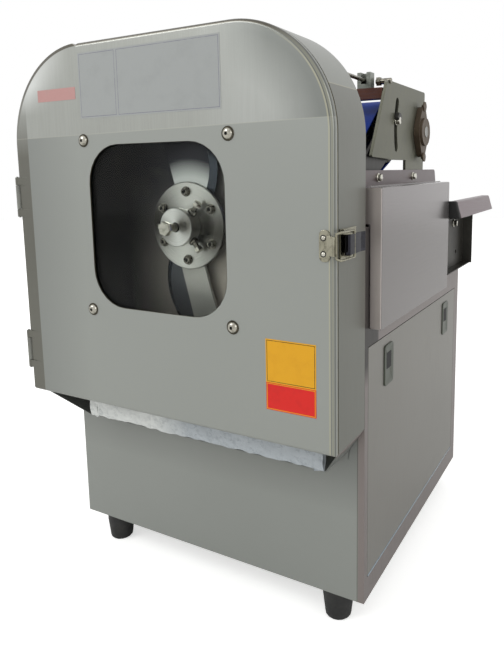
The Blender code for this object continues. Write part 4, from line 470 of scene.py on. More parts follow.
SIDE_STEEL = sheet_steel("side_steel", "8E8C87", "83817C", rough=(0.30, 0.42))
COVER_STEEL = sheet_steel("cover_steel", "8B8786", "807C7C", INWARDS, (0.18, 0.30))
# The cover's front flange is much lighter than the cover: painted light against the head's shade.
FLANGE_PAINTED_LIGHT = sheet_steel("flange_painted_light", "CFC7C3", "BDB4B0", (20.0, 20.0, 1.0), (0.30, 0.42))
RAIL_STEEL = sheet_steel("rail_steel", "6E575C", "544649", INWARDS, (0.26, 0.40), 0.3)
# The brackets' finish is nearly black: painted shade for the channel's shadow they sit in.
BRACKET_STEEL = sheet_steel("bracket_steel", "33312B", "23221E", UPRIGHT, (0.35, 0.5), 0.3, cover=0.55)
SHADE_STEEL = sheet_steel("shade_steel", "1E2028", "0C0D13", UPRIGHT, (0.30, 0.50), 0.6, bump=0.01,
                          grime="4A453D", cover=0.60, size=14.0)
DECK_STEEL = sheet_steel("deck_steel", "8A8C89", "7A7C79", INWARDS)
# The next finish is lighter than the sheets: a painted highlight on their bevelled edges.
EDGE_HIGHLIGHT = sheet_steel("edge_highlight", "D6D7CF", "B9BAAF", UPRIGHT, (0.15, 0.30), 0.9, cover=0.2)
STRIP_STEEL = sheet_steel("strip_steel", "6E6061", "3E3738", (30.0, 4.0, 8.0), (0.25, 0.4), 0.4, size=30.0)
PULL_STEEL = sheet_steel("pull_steel", "5F645A", "4C5148", UPRIGHT, (0.25, 0.40), size=60.0)
# The next finish paints shade in hollows: the pulls' sunk parts, screw sockets and sinks, and round the keeper
# screws.
DARK_SHADE = sheet_steel("dark_shade", "23241F", "101110", UPRIGHT, (0.40, 0.60), 0.3)
# Black for the rail plugs, which are moulded black, and for the pulls' slots, where it is painted shade.
BLACK_PLUG_AND_SLOT_SHADE = sheet_steel("black_plug_and_slot_shade", "0E0D0D", "060606", UPRIGHT, (0.55, 0.7), 0.0, cover=0.1)
GASKET = sheet_steel("window_gasket", "4A4436", "1E1C17", (8.0, 8.0, 8.0), (0.25, 0.50), 0.4)
# The cheeks' top finish is lighter: a painted highlight along their top edge.
FLANGE_TOP = sheet_steel("cheek_flange", "94938A", "6F6F64", (60.0, 3.0, 60.0), (0.22, 0.40), size=50.0)
print("sheet finishes ready")

# %% [markdown]
# ## The door's finish
# The maker leaves grey protective film on the lower door and peels it off the top and the hinge
# side, so the face has two tones with a thin line where the film ends. Two pieces of film could be
# modelled, but a line at one height on a single sheet is how it really reads from arm's length.


# %% Two-tone sheets
def door_face():
    """Film with a peeled top and left margin, painted highlights and shade, and the rolled rim's painted lines.
    """
    made, tree = new_material("door_face")
    edge = use(tree, ARCHED)
    side, height, inward = (edge.outputs[n] for n in ("Side", "Height", "Distance"))
    streaks, cloud = grain_in(tree)
    over = maths("SUBTRACT", height, maths("MULTIPLY_ADD", side, 0.012, FILM_EDGE_Z))
    bare_top = ramp(over, -0.0004, 0.0004)
    margin = ramp(side, -0.1995, -0.1985, 1.0, 0.0)
    bare = maths("MAXIMUM", bare_top, margin)
    right = ramp(side, 0.150, 0.200)
    film = layers(mix(ramp(side, -0.199, -0.110), "858884", "979A95"),
                  (spread(cloud, 0.0, 0.25), "8B8E8A"))
    # A painted highlight on the top-left corner of the arch, lightened in from the edge.
    corner = times(ramp(side, -0.19, -0.12, 1.0, 0.0), ramp(height, 0.610, 0.645))
    # The bare steel carries painted light: lighter at the top towards the right, and painted shade in from the
    # right rim.
    steel = layers(
        mix(streaks, "999B95", "A8AAA5"),
        (times(bare_top, ramp(side, 0.06, 0.12, 0.0, 0.25)), "C2C5C3"),
        (times(ramp(inward, 0.012, 0.060, 0.9, 0.0), ramp(side, 0.08, 0.15)), "7C7F7B"),
        (times(ramp(inward, 0.010, 0.050, 0.9, 0.0), corner), "DCDEDB"),
        (times(margin, ramp(height, 0.625, 0.560, 0.0, 0.9)), "64635B"),
        (spread(smudge_in(tree, 11.0, 0.46), 0.0, 0.16), "7A7B77"))
    hem = times(band(inward, -0.001, 0.0036, 0.0004), ramp(side, 0.150, 0.200, 0.85, 0.0))
    tone = layers(mix(bare, film, steel),
                  (times(band(over, -0.0003, 0.0004), 0.22), "CFCDBB"),
                  (times(hem, ramp(height, 0.585, 0.640)), "4F4A40"))
    # The rolled rim's lines on the right are painted: a cream highlight, a dark reflection line, a grey-green
    # band and a dark line at the very edge.
    for low, high, digits, share in ((0.0044, 0.0058, "ADAA93", 0.75), (0.0034, 0.0040, "4E4E47", 0.8),
                                     (0.0012, 0.0030, "8C8B7C", 0.7), (0.0002, 0.0008, "4A4A44", 0.8)):
        line = times(band(inward, low, high, 0.00025), right)
        tone = mix(times(line, share), tone, digits)
    return finish(made, tone, spread(bare, 0.45, 0.80), bare, (0.36, 0.28), times(streaks, bare), 0.03)


def housing_face():
    """The head's wrapper: film below, bare and lighter above a higher line."""
    made, tree = new_material("housing_face")
    over = maths("SUBTRACT", use(tree, ARCHED).outputs["Height"], HOUSING_FILM_Z)
    streaks, cloud = grain_in(tree)
    film = mix(spread(cloud, 0.2, 0.8), "6E6F69", "787972")
    steel = layers(mix(streaks, "84867F", "90928D"),
                   (spread(smudge_in(tree, 16.0, 0.46), 0.0, 0.2), "7A7B77"))
    tone = layers(mix(ramp(over, -0.0004, 0.0004), film, steel),
                  (times(band(over, -0.0003, 0.0005), 0.5), "B5B096"))
    return finish(made, tone, 0.6, streaks, (0.30, 0.42), streaks)


def cabinet_front():
    """Brushed sheet, darker under the chute as a painted shadow, with the corner post's folded strip at one
    side.
    """
    made, tree = new_material("cabinet_steel")
    place = axes_in(tree)
    streaks, cloud = grain_in(tree, ACROSS)
    # Painted shadow: the sheet darkens towards its top, under the head and chute.
    tone = layers(mix(spread(cloud, 0.2, 0.8), "999C98", "8E918C"),
                  (ramp(place["Z"], 0.145, 0.235, 0.0, 0.60), "5C5D5B"),
                  (ramp(place["X"], 0.2122, 0.2126), "857D7A"),
                  (times(band(place["X"], 0.2112, 0.2120), 0.8), "4A473C"))
    return finish(made, tone, 0.55, streaks, (0.32, 0.44))


def wrapping():
    """Milky wrapping, whiter towards the left, with fine creases."""
    made, tree = new_material("wrapping_film")
    fine = smudge_in(tree, 190.0)
    tone = layers(mix(ramp(axes_in(tree)["X"], -0.06, 0.0), "DEE1DE", "B4BBC0"),
                  (spread(fine, 0.0, 0.35), "7F8A90"))
    return finish(made, tone, 0.0, fine, (0.25, 0.5), fine, 0.5)


def post_side():
    """The posts' outer faces, in the head's shadow above the side panel's top at the front."""
    made, tree = new_material("post_steel")
    place = axes_in(tree)
    streaks, _ = grain_in(tree)
    shade = times(ramp(place["Z"], 0.300, 0.325), ramp(place["Y"], -0.186, -0.180, 0.92, 0.0))
    return finish(made, layers(mix(streaks, "877F7D", "766F6D"), (shade, "1B1917")), 0.5, streaks,
                  (0.28, 0.42))


POST_STEEL = post_side()
CABINET_STEEL = cabinet_front()
FILM_FOIL = wrapping()
DOOR_FACE = door_face()
HOUSING_FACE = housing_face()
print("two-tone sheets ready")

# %% [markdown]
# ## The chamber's painted shade
# Behind the window the steel is wet and unlit, so its shade is painted in: nearly black on the hinge
# side, turning to grey-brown low down and towards the hub. One dark colour would look like a hole,
# so the tone follows the place on the wall.


# %% Chamber wall
def chamber():
    """Dark steel in painted shade, navy-black on one side and grey-brown on the other, with splashes."""
    made, tree = new_material("chamber_steel")
    place = axes_in(tree)
    streaks, _ = grain_in(tree, (9.0, 9.0, 4.0))
    side = ramp(place["X"], -0.110, 0.020)
    pale = times(ramp(place["Z"], 0.500, 0.570), ramp(place["X"], -0.030, 0.050))
    splash = times(smudge_in(tree, 22.0), spread(side, 0.06, 0.34))
    # Painted shade: nearly black on the hinge side, grey-brown low down and towards the hub, paler at the top
    # right, with splashes.
    tone = layers(mix(side, "0A0C13", "3A3A3F"),
                  (times(side, ramp(place["Z"], 0.530, 0.400)), "B8B0A3"),
                  (pale, "A9A69C"), (splash, "8F8A7C"))
    return finish(made, tone, 0.35, streaks, (0.35, 0.55))


INSIDE_STEEL = chamber()
print("chamber finish ready")

# %% [markdown]
# ## Bright parts, turned parts and blades
# Screws and latch parts are plated, the hub is turned, and the blades are ground. They differ in
# colour and in how sharp the reflection is, so each gets its own range of roughness.


# %% Plated, turned and ground steel
def plated(name, light, dark, rough=(0.10, 0.28), size=160.0, metallic=1.0):
    """Bright plated steel with small stains."""
    made, tree = new_material(name)
    marks = smudge_in(tree, size)
    return finish(made, mix(marks, light, dark), metallic, marks, rough)


def turned_steel(name, light, dark, fans_start):
    """Lathe-cut steel with rings and broad fans of light, round the cutter's axis."""
    made, tree = new_material(name)
    rings = use(tree, TURNED, Centre=(0.0, 0.0, CUTTER_Z), Fans=2.0, Start=fans_start)
    tone = layers(mix(rings.outputs["Fan"], dark, light), (spread(rings, 0.0, 0.05), "5E5C57"))
    return finish(made, tone, 0.85, rings, (0.26, 0.31))


def bar_and_block():
    """A rusted bar below and its grey lever block above."""
    made, tree = new_material("bar_steel")
    streaks, _ = grain_in(tree, (6.0, 30.0, 30.0))
    rust, grey = mix(streaks, "6B3F2A", "5A4648"), mix(streaks, "6F736B", "9A9E97")
    above = ramp(axes_in(tree)["Z"], 0.6408, 0.6414)
    return finish(made, mix(above, rust, grey), 0.6, streaks, (0.25, 0.45))


def blade_in_shadow():
    """Ground steel that is bright by the hub and reflects the dark chamber further out."""
    made, tree = new_material("upper_blade_steel")
    reach = length(away(point_in(tree), (0.0, -0.2397, CUTTER_Z)))
    tone = mix(ramp(reach, 0.058, 0.080), "CBCEC9", "2B2B30")
    return finish(made, tone, 0.8, grain_in(tree, BLADE_GRAIN)[1], (0.26, 0.32))


def blade_with_dark_reflection():
    """Ground steel with a painted dark reflection along the leading edge."""
    made, tree = new_material("lower_blade_steel")
    place = axes_in(tree)
    streaks, _ = grain_in(tree, BLADE_GRAIN)
    across = maths("ADD", place["X"], maths("MULTIPLY_ADD", place["Z"], 0.267, -0.08848))
    tone = layers(mix(streaks, "A5A49B", "B8B7AF"),
                  (ramp(across, 0.0095, 0.0110, 0.92, 0.0), "2E333B"))
    return finish(made, tone, 0.5, streaks, (0.25, 0.40))


# A painted highlight: the cream line along the bevels of the side cover and the tray rails.
CREAM_HIGHLIGHT = plated("cream_highlight", "CFCBB6", "A8A48F", (0.2, 0.35))
HINGE_GREY = plated("hinge_grey", "82837D", "6C6D68", (0.35, 0.5), metallic=0.5)
# A painted reflection: the bright bluish line along each side panel's lower lip.
LIP_HIGHLIGHT = plated("panel_lip_highlight", "A9BAC6", "8794A0", (0.2, 0.35))
STUD_HEAD = plated("stud_head", "BDBAAE", "9B988B", (0.15, 0.25))
BRIGHT = plated("bright_plating", "CFCDC2", "A19D90")
SCREW_DOME = plated("window_screw_dome", "B4B1A6", "716D61", (0.12, 0.25))
SCREW_RING = plated("window_screw_ring", "4A463C", "2B2924", (0.25, 0.40))
LATCH_STEEL = plated("latch_plating", "9A9786", "605D51", (0.14, 0.32))
DARK_BOLT = plated("dark_bolt", "8A877C", "3B3935", (0.2, 0.4))
LEVER_STEEL = plated("latch_lever_face", "35353C", "1F1F26", (0.12, 0.30))
SCREW_STEEL = plated("hub_screws", "77746A", "2B2925", (0.12, 0.30), 220.0)
HUB_FACE = turned_steel("hub_face", "D2D2CA", "4A4842", 1.75)
NOSE_FACE = turned_steel("nose_face", "E2E2DC", "8A8882", 1.2)
SHAFT_STEEL = sheet_steel("shaft_steel", "8B8A85", "6B6A65", UPRIGHT, (0.18, 0.34), 0.9)
PRESS_STEEL = sheet_steel("press_plate_steel", "868677", "404138", (9.0, 9.0, 5.0), (0.35, 0.55), 0.7,
                          grime="34352D", cover=0.36, size=22.0)
ARM_STEEL = sheet_steel("arm_steel", "4A4946", "2C2B29", UPRIGHT, (0.35, 0.55), 0.6, size=30.0)
CAST_STEEL = sheet_steel("cast_bearing", "5F5540", "4A3B36", (10.0, 10.0, 10.0), (0.4, 0.6), 0.5, size=60.0)
GROUND_EDGE = sheet_steel("ground_edge", "4A5158", "30363D", (30.0, 60.0, 60.0), (0.15, 0.30), 0.7)
BAR_STEEL = bar_and_block()
SHADOW_BLADE = blade_in_shadow()
BLADE_STEEL = blade_with_dark_reflection()
print("bright finishes ready")

# %% [markdown]
# ## Rubber, belts, pane and paint
# The soft and moulded parts need no metal. Rubber is dull with a little dust, belts and paint carry
# a fine surface, and the pane is clear with wiped haze.


# %% Plain coatings
def coated(name, light, dark, rough=(0.4, 0.6), size=40.0, scale=300.0, gloss=0.5):
    """Paint, plastic or rubber with a fine surface and slow changes of tone."""
    made, tree = new_material(name)
    fine = add(tree, "TexNoise", Vector=point_in(tree), Scale=scale, Detail=2.0)
    return finish(made, mix(smudge_in(tree, size), light, dark), 0.0, fine, rough, fine, 0.05, 0.0005,
                  Specular_IOR_Level=gloss)


def clear_pane():
    """Clear plate with faint wiped haze."""
    made, tree = new_material("clear_pane")
    return finish(made, "F2F5F4", 0.0, smudge_in(tree, 16.0), (0.0, 0.05), IOR=1.16,
                  Transmission_Weight=1.0)


RUBBER = coated("black_rubber", "1B1B1B", "2B2A28", (0.45, 0.65))
MOTOR_PAINT = coated("motor_paint", "5E666B", "4C5357", (0.35, 0.5))
WHITE_BELT = coated("white_belt", "DDDEDA", "C9CAC4", (0.35, 0.5), scale=600.0)
BLUE_BELT = coated("blue_belt", "10348F", "0D2B78", (0.45, 0.6), scale=600.0, gloss=0.15)
LABEL_GREY = coated("label_grey", "9FA2A1", "9B9E9D", (0.35, 0.45), gloss=0.2)
LABEL_LINE = coated("label_line", "7E7F88", "94969A", (0.35, 0.45), 120.0, gloss=0.3)
TAB_PINK = coated("tab_pink", "B98E8A", "B3918C", (0.4, 0.5), gloss=0.3)
STICKER_YELLOW = coated("sticker_yellow", "DFA31A", "D89B16", (0.3, 0.4), gloss=0.3)
STICKER_RED = coated("sticker_red", "D9221C", "CC201B", (0.3, 0.4), gloss=0.3)
STICKER_BROWN = coated("sticker_border", "5A4312", "A87A18", (0.3, 0.4), 200.0, gloss=0.3)
PALE_PLASTIC = coated("pale_plastic", "C2C2BD", "B4B4AE", (0.4, 0.5))
GREEN_PLASTIC = coated("green_plastic", "1E8A3C", "187532", (0.25, 0.35))
RED_PLASTIC = coated("red_plastic", "C4201C", "A51B18", (0.25, 0.35))
SEAL_STRIP = coated("seal_strip", "8E866C", "4F4A3B", (0.45, 0.6))
PANE = clear_pane()
print("soft and moulded finishes ready")

# %% [markdown]
# ## Rounding the edges of every sheet
# Folded sheet has no knife edges: each catches a thin line of light. The imported piece is copied, its
# loose triangles are merged, flat areas are joined, and a narrow bevel is applied. The bevel's own
# faces may take a second, brighter finish, which is a painted highlight along the edge.


# %% Round one imported piece
def cut_away(piece, low, high):
    """Take a block out of a piece with a Boolean."""
    empty_bench()
    bpy.ops.mesh.primitive_cube_add(size=1.0, location=(low + high) / 2)
    block = bpy.context.object
    block.scale = high - low
    saw = piece.modifiers.new("saw", "BOOLEAN")
    saw.operation = "DIFFERENCE"
    saw.object = block
    apply_all(piece)
    bpy.data.objects.remove(block)


def rounded(node, *materials, width=0.0004, corner=28, edge=0, shape=None, notch=None):
    """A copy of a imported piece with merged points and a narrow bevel, which stands for it."""
    alone(NODES[node])
    bpy.ops.object.duplicate()
    piece = bpy.context.object
    del piece["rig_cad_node"]
    piece.name = f"{node}_finished"
    piece.data.name = piece.name
    bpy.ops.mesh.customdata_custom_splitnormals_clear()
    with opened(piece):
        join_flats(slivers=False)
        if shape is not None:
            shape(piece)
    if notch is not None:
        cut_away(piece, *notch)
    rim = piece.modifiers.new("edge", "BEVEL")
    rim.width = width
    rim.segments = 2
    rim.limit_method = "ANGLE"
    rim.angle_limit = math.radians(corner)
    rim.use_clamp_overlap = False
    rim.material = edge
    apply_all(piece)
    fit(piece, BODY_OF[node], SLOT_OF[node], *materials, stands_for=(node,), smooth=corner)
    even = piece.modifiers.new("even", "WEIGHTED_NORMAL")
    even.keep_sharp = True
    return apply_all(piece)


def repaint(piece, material, wanted):
    """Give the faces that pass a test another finish."""
    if material.name not in piece.data.materials:
        piece.data.materials.append(material)
    with opened(piece):
        pick(piece, "FACE", wanted)
        piece.active_material_index = piece.data.materials.find(material.name)
        bpy.ops.object.material_slot_assign()
    return piece


SLOT_OF = {s["node"]: s.get("material_slot", s.get("material")) for s in frame["record"]["subparts"]}
print("slots in use:", len(set(SLOT_OF.values())))

# %% [markdown]
# ## A true arch and a rolled rim
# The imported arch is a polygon, which shows against a white wall. Each chord is split in three and
# the new points go out to the circle. The door's outer edge is then rolled with a wide bevel, as the
# press brake leaves it. Modelling the arch again would also do, but it would lose the holes.


# %% Arch and rim
def inset_of(point):
    """Distance in from the head's outline."""
    aside, up = abs(point.x) - (HEAD_HALF - ARCH), point.z - (HEAD_TOP - ARCH)
    if aside > 0 and up > 0:
        return ARCH - math.hypot(aside, up)
    return min(HEAD_HALF - abs(point.x), HEAD_TOP - point.z, point.z - HEAD_BOTTOM)


def true_arch(piece):
    """Split the arch's chords in three and move the new points out to the circle."""
    middle = Vector((HEAD_HALF - ARCH, 0.0, HEAD_TOP - ARCH))

    def from_middle(point):
        return Vector((abs(point.x) - middle.x, 0.0, point.z - middle.z))

    def chord(edge):
        first, last = (v.co for v in edge.verts)
        arms = [from_middle(p) for p in (first, last)]
        in_corner = all(a.x > -1e-5 and a.z > -1e-5 and a.length > 0.09 for a in arms)
        level = abs(first.y - last.y) < 1e-6 and abs(arms[0].length - arms[1].length) < 8e-5
        return in_corner and level and 0.004 < (first - last).length < 0.04

    pick(piece, "EDGE", chord)
    targets = []
    for edge in bmesh.from_edit_mesh(piece.data).edges:
        if chord(edge):
            first, last = (v.co.copy() for v in edge.verts)
            for share in (1 / 3, 2 / 3):
                place = first.lerp(last, share)
                out = from_middle(place).normalized() * from_middle(first).length
                aside = math.copysign(middle.x + out.x, place.x)
                targets.append((place, Vector((aside, place.y, middle.z + out.z))))
    bpy.ops.mesh.subdivide(number_cuts=2)
    shape = bmesh.from_edit_mesh(piece.data)
    for vertex in shape.verts:
        for place, target in targets:
            if (vertex.co - place).length < 2e-6:
                vertex.co = target
                break
    bmesh.update_edit_mesh(piece.data)


def rolled_rim(piece):
    """True the arch, lay the hinge leaves flat and roll the front edge, but for the hinge side."""
    true_arch(piece)
    squash(piece, lambda v: v.co.y < DOOR_FRONT - 1e-5 and -0.2199 < v.co.x < -0.150, (1.0, 0.0, 1.0),
           (0.0, DOOR_FRONT, 0.0))
    join_flats()

    def on_rim(edge):
        front = all(abs(v.co.y - DOOR_FRONT) < 1e-5 and inset_of(v.co) < 1e-4 for v in edge.verts)
        return front and sum(v.co.x for v in edge.verts) / 2 > ROLL_START_X

    bevel(piece, "EDGE", on_rim, 0.0044, 5)


def without_pulls(piece):
    """Lay a panel's proud pull frames flat; finer frames follow."""
    flat = max(abs(v.co.x) for v in bmesh.from_edit_mesh(piece.data).verts if abs(v.co.x) < PROUD_X)
    side = math.copysign(flat, piece.bound_box[0][0])
    squash(piece, lambda v: abs(v.co.x) > PROUD_X, (0.0, 1.0, 1.0), (side, 0.0, 0.0))
    join_flats()


SHEETS = (
    (CABINET_STEEL, "cabinet_shell discharge_chute"), (DECK_STEEL, "deck_left"),
    (COVER_STEEL, "drive_cover"), (SIDE_STEEL, "rear_panel"), (STRIP_STEEL, "conveyor_frame"),
    (BRACKET_STEEL, "tray_bracket_left tray_bracket_right"),
)
DONE = {node: rounded(node, steel, EDGE_HIGHLIGHT, edge=1) for steel, nodes in SHEETS for node in nodes.split()}
DONE["press_cross_bar"] = rounded("press_cross_bar", BAR_STEEL)
DONE["latch_lever"] = rounded("latch_lever", LEVER_STEEL, LATCH_STEEL, edge=1)
# The side cover's bevels, and the rails' below, take the cream painted highlight.
DONE["side_cover"] = rounded("side_cover", COVER_STEEL, CREAM_HIGHLIGHT, width=0.0014, edge=1)
for _, hand in SIDES:
    DONE[f"{hand}_panel"] = rounded(f"{hand}_panel", SIDE_STEEL, EDGE_HIGHLIGHT, width=0.0008, edge=1,
                                    shape=without_pulls)
    DONE[f"tray_rail_{hand}"] = rounded(f"tray_rail_{hand}", RAIL_STEEL, CREAM_HIGHLIGHT, edge=1)
DONE["door_panel"] = rounded("door_panel", DOOR_FACE, EDGE_HIGHLIGHT, edge=1, shape=rolled_rim)
DONE["cutter_housing"] = rounded("cutter_housing", HOUSING_FACE, EDGE_HIGHLIGHT, edge=1, shape=true_arch)
DONE["door_seal"] = rounded("door_seal", SEAL_STRIP, width=0.0003, shape=true_arch)
print("sheets finished:", len(DONE))

# %% [markdown]
# ## Shafts, belts and small parts
# These have the right shapes already. They get the same narrow bevel and their own finishes, from a
# list, because so many near-equal cells would teach nothing new.

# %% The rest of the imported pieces
SMALL = (
    (RUBBER, "foot_front_left foot_front_right foot_back_left foot_back_right v_belt"),
    (PANE, "window_pane"),
    (HINGE_GREY, "lower_hinge upper_hinge"), (LATCH_STEEL, "latch_base latch_bail"),
    (DARK_BOLT, "lift_lever feed_chain press_chain"), (MOTOR_PAINT, "motor feed_gearmotor"),
    (SHAFT_STEEL, "cutter_shaft spindle_pulley motor_pulley feed_drive_roller feed_tail_roller"),
    (SHAFT_STEEL, "gearmotor_shaft press_drive_roller press_front_roller pivot_shaft"),
    (CAST_STEEL, "bearing_cartridge press_bearing_left press_bearing_right"), (ARM_STEEL, "press_arms"),
    (WHITE_BELT, "feed_belt"), (BLUE_BELT, "press_belt"), (SHADOW_BLADE, "upper_blade"),
    (BLADE_STEEL, "lower_blade"), (PALE_PLASTIC, "control_plate"), (GREEN_PLASTIC, "start_button"),
    (RED_PLASTIC, "stop_button"),
)
DONE.update({node: rounded(node, look, width=0.0003) for look, nodes in SMALL for node in nodes.split()})
print("finished:", len(DONE))


# %% [markdown]
# ## The press unit's cheeks
# Each cheek is a laser-cut plate with a slot and a folded top. Its leg is only a narrow strap, so the
# copy is notched with a block and a Boolean, the way a fitter would saw it. A new outline would do as
# well, but the slot and the bores would have to be cut again.

# %% Cheeks
NOTCH = Vector((0.040, -0.066, 0.490)), Vector((0.200, 0.006, 0.5512))
for _, hand in SIDES:
    node = f"press_plate_{hand}"
    cheek = rounded(node, PRESS_STEEL, EDGE_HIGHLIGHT, width=0.0005, edge=1, notch=NOTCH)
    # The top faces take the lighter finish: a painted highlight along the cheek's top edge.
    DONE[node] = repaint(cheek, FLANGE_TOP, lambda f: middle_of(f).z > 0.6485)
print("cheeks finished")

# %% [markdown]
# ## Faces that differ on one piece
# One sheet or casting often carries two finishes: a chamber painted dark inside as shade, a bright
# screw in a dull flange, a ground edge on a blade. Faces are picked by where they are and the way
# they face, which keeps the piece whole.

# %% Second finishes by place
CHAMBER_FRONT = DOOR_FRONT + 0.012
# The chamber's inner faces take its painted shade.
repaint(DONE["cutter_housing"], INSIDE_STEEL,
        lambda f: (INSIDE - middle_of(f)).dot(f.normal) > 0.0 and middle_of(f).y > CHAMBER_FRONT)
repaint(DONE["door_panel"], SIDE_STEEL, lambda f: f.normal.y > 0.5 and inset_of(middle_of(f)) > 0.002)


def at_window(face):
    """Faces on the window opening's edge."""
    place = middle_of(face)
    aside, up = abs(place.x), abs(place.z - WINDOW_Z)
    behind = place.y > DOOR_FRONT - 1e-5 and abs(face.normal.y) < 0.99
    return behind and max(aside, up) < WINDOW_HALF + 0.0012


def in_pull(face):
    """Faces in the sunk part of a panel's pulls."""
    place = middle_of(face)
    at_pull = any(abs(place.y - along) < 0.016 for along in PULLS_ALONG)
    return at_pull and abs(place.x) < 0.2195 and place.z > 0.279


repaint(DONE["door_panel"], GASKET, at_window)
for blade in ("upper_blade", "lower_blade"):
    repaint(DONE[blade], GROUND_EDGE, lambda f: 0.2 < abs(f.normal.y) < 0.93)
for side, hand in SIDES:
    middle = Vector((side * 0.2365, 0.0, 0.476))
    repaint(DONE[f"tray_rail_{hand}"], SHADE_STEEL, lambda f: abs(f.normal.y) < 0.5
            and (middle - middle_of(f)).dot(Vector((f.normal.x, 0, f.normal.z))) > 0.0)
    # Painted shade in the sunk part of each pull.
    repaint(DONE[f"{hand}_panel"], DARK_SHADE, in_pull)
repaint(DONE["cabinet_shell"], POST_STEEL, lambda f: abs(f.normal.x) > 0.9 and abs(middle_of(f).x) > 0.2185)
# The cover's front faces take the lighter finish: painted light that offsets the head's shade on them.
repaint(DONE["side_cover"], FLANGE_PAINTED_LIGHT, lambda f: f.normal.y < -0.9)
print("second finishes placed")

# %% [markdown]
# ## Flatter shaft ends
# The bearing's boss and the shaft ends outside the right cheek are pressed towards the plate, since
# they stand out further than they need to. Remaking the three pieces would give the same faces.

# %% Press the boss and the shaft ends in
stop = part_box("press_bearing_right")[0].x + 0.0085
for node in ("press_bearing_right", "pivot_shaft", "press_drive_roller"):
    with opened(DONE[node]):
        squash(DONE[node], lambda v: v.co.x > stop, (0.35, 1.0, 1.0), (stop, 0.0, 0.0))
print("boss and shaft ends pressed in beyond", round(stop, 4))


# %% [markdown]
# ## Small parts from a few strokes
# Screws, bolts and plates are made once by simple strokes: a profile spun round an axis, a hexagon
# with its rim inset, a block with its corners bevelled. Each new place gets its own copy.


# %% Lathe, hexagon and slab
def lathe(name, profile, place, axis=FORWARDS, steps=32):
    """Spin a profile of (reach, radius) pairs round an axis through a point."""
    empty_bench()
    bpy.ops.mesh.primitive_plane_add(size=0.001)
    piece = bpy.context.object
    with opened(piece):
        bpy.ops.mesh.select_mode(type="VERT")
        bpy.ops.mesh.select_all(action="SELECT")
        bpy.ops.mesh.merge(type="CENTER")
        reach, radius = profile[0]
        bpy.ops.transform.translate(value=(radius, 0.0, reach))
        for next_reach, next_radius in profile[1:]:
            step = (next_radius - radius, 0.0, next_reach - reach)
            bpy.ops.mesh.extrude_vertices_move(TRANSFORM_OT_translate={"value": step})
            reach, radius = next_reach, next_radius
        bpy.ops.mesh.select_all(action="SELECT")
        bpy.ops.mesh.spin(steps=steps, angle=math.tau, center=(0.0, 0.0, 0.0), axis=(0.0, 0.0, 1.0))
    mend(piece)
    return aim_at(piece, name, place, axis)


def rod(radius, long):
    """The profile of a plain rod."""
    return [(0, 0), (0, radius), (long, radius), (long, 0)]


def aim_at(piece, name, place, axis):
    """Turn a piece made along Z to an axis and settle it at a place."""
    piece.rotation_mode = "QUATERNION"
    piece.rotation_quaternion = Vector((0.0, 0.0, 1.0)).rotation_difference(Vector(axis))
    piece.location = place
    return settle(piece, name)


def hexagon(name, flats, height, place, axis=FORWARDS, turn=0.0):
    """A hexagon head with a chamfered rim."""
    empty_bench()
    bpy.ops.mesh.primitive_cylinder_add(vertices=6, radius=flats / math.sqrt(3), depth=height,
                                        location=(0.0, 0.0, height / 2), rotation=(0.0, 0.0, turn))
    piece = settle(bpy.context.object, name)
    with opened(piece):
        bevel(piece, "FACE", lambda f: f.normal.z > 0.9, flats * 0.07)
    return aim_at(piece, name, place, axis)


def slab(name, low, high, thin=1, corner=0.0, edge=0.0003, steps=4):
    """A plate between two corners, with its outline's corners rounded across the thin axis."""
    empty_bench()
    low, high = Vector(low), Vector(high)
    bpy.ops.mesh.primitive_cube_add(size=1.0, location=(low + high) / 2)
    piece = bpy.context.object
    piece.scale = high - low
    settle(piece, name)
    with opened(piece):
        if corner:
            bevel(piece, "EDGE", lambda e: abs((e.verts[0].co - e.verts[1].co).normalized()[thin]) > 0.99,
                  corner, steps)
        if edge:
            bevel(piece, "EDGE", sharp, edge)
    return piece


def joined(name, *pieces):
    """Several closed meshes as one piece."""
    alone(pieces[0])
    for piece in pieces[1:]:
        piece.select_set(True)
    bpy.ops.object.join()
    return settle(bpy.context.object, name)


def copy_to(piece, name, shift):
    """A copy with its own mesh, moved by a step."""
    alone(piece)
    bpy.ops.object.duplicate()
    made = bpy.context.object
    made.parent = None
    made.location = Vector(shift)
    return settle(made, name)


print("small-part strokes ready")

# %% [markdown]
# ## Hub, nose and their screws
# The hub is a turned disc with six socket screws. The nose is a smaller disc on a collar, held by
# three radial set bolts with lock nuts and by a long bolt with a bright head. Crisp separate screws
# catch the light one by one, which a single merged casting never does.

# %% Hub and nose
HUB_FACE_Y, NOSE_SEAT_Y, NOSE_BACK_Y, SCREW_CIRCLE = -0.2440, -0.2443, -0.2600, 0.0410
SPIN = BODY_OF["hub_flange"]
HUB = [(0.0, 0.0110), (0.0, 0.0515), (0.0004, 0.0522), (0.0010, 0.0525), (0.0030, 0.0525), (0.0036, 0.0522),
       (0.0040, 0.0515), (0.0040, 0.0110)]
NOSE = [(0.0, 0.0060), (0.0, 0.0195), (0.0004, 0.0200), (0.0157, 0.0200), (0.0157, 0.0224), (0.0161, 0.0230),
        (0.0219, 0.0230), (0.0227, 0.0222), (0.0227, 0.0060)]
disc = lathe("hub_disc", HUB, (0, -0.2400, CUTTER_Z), steps=72)
fit(disc, SPIN, SLOT_OF["hub_flange"], HUB_FACE, stands_for=("hub_flange",), smooth=25)
nose = lathe("nose_disc", NOSE, (0, NOSE_SEAT_Y, CUTTER_Z), steps=56)
fit(nose, SPIN, SLOT_OF["nose_collar"], NOSE_FACE, stands_for=("nose_collar",), smooth=25)
SOCKET = [(0.0, 0.0), (0.0, 0.0062), (0.0008, 0.0062), (0.0008, 0.0046), (0.0044, 0.0046), (0.0050, 0.0040),
          (0.0050, 0.0025), (0.0026, 0.0024), (0.0026, 0.0)]
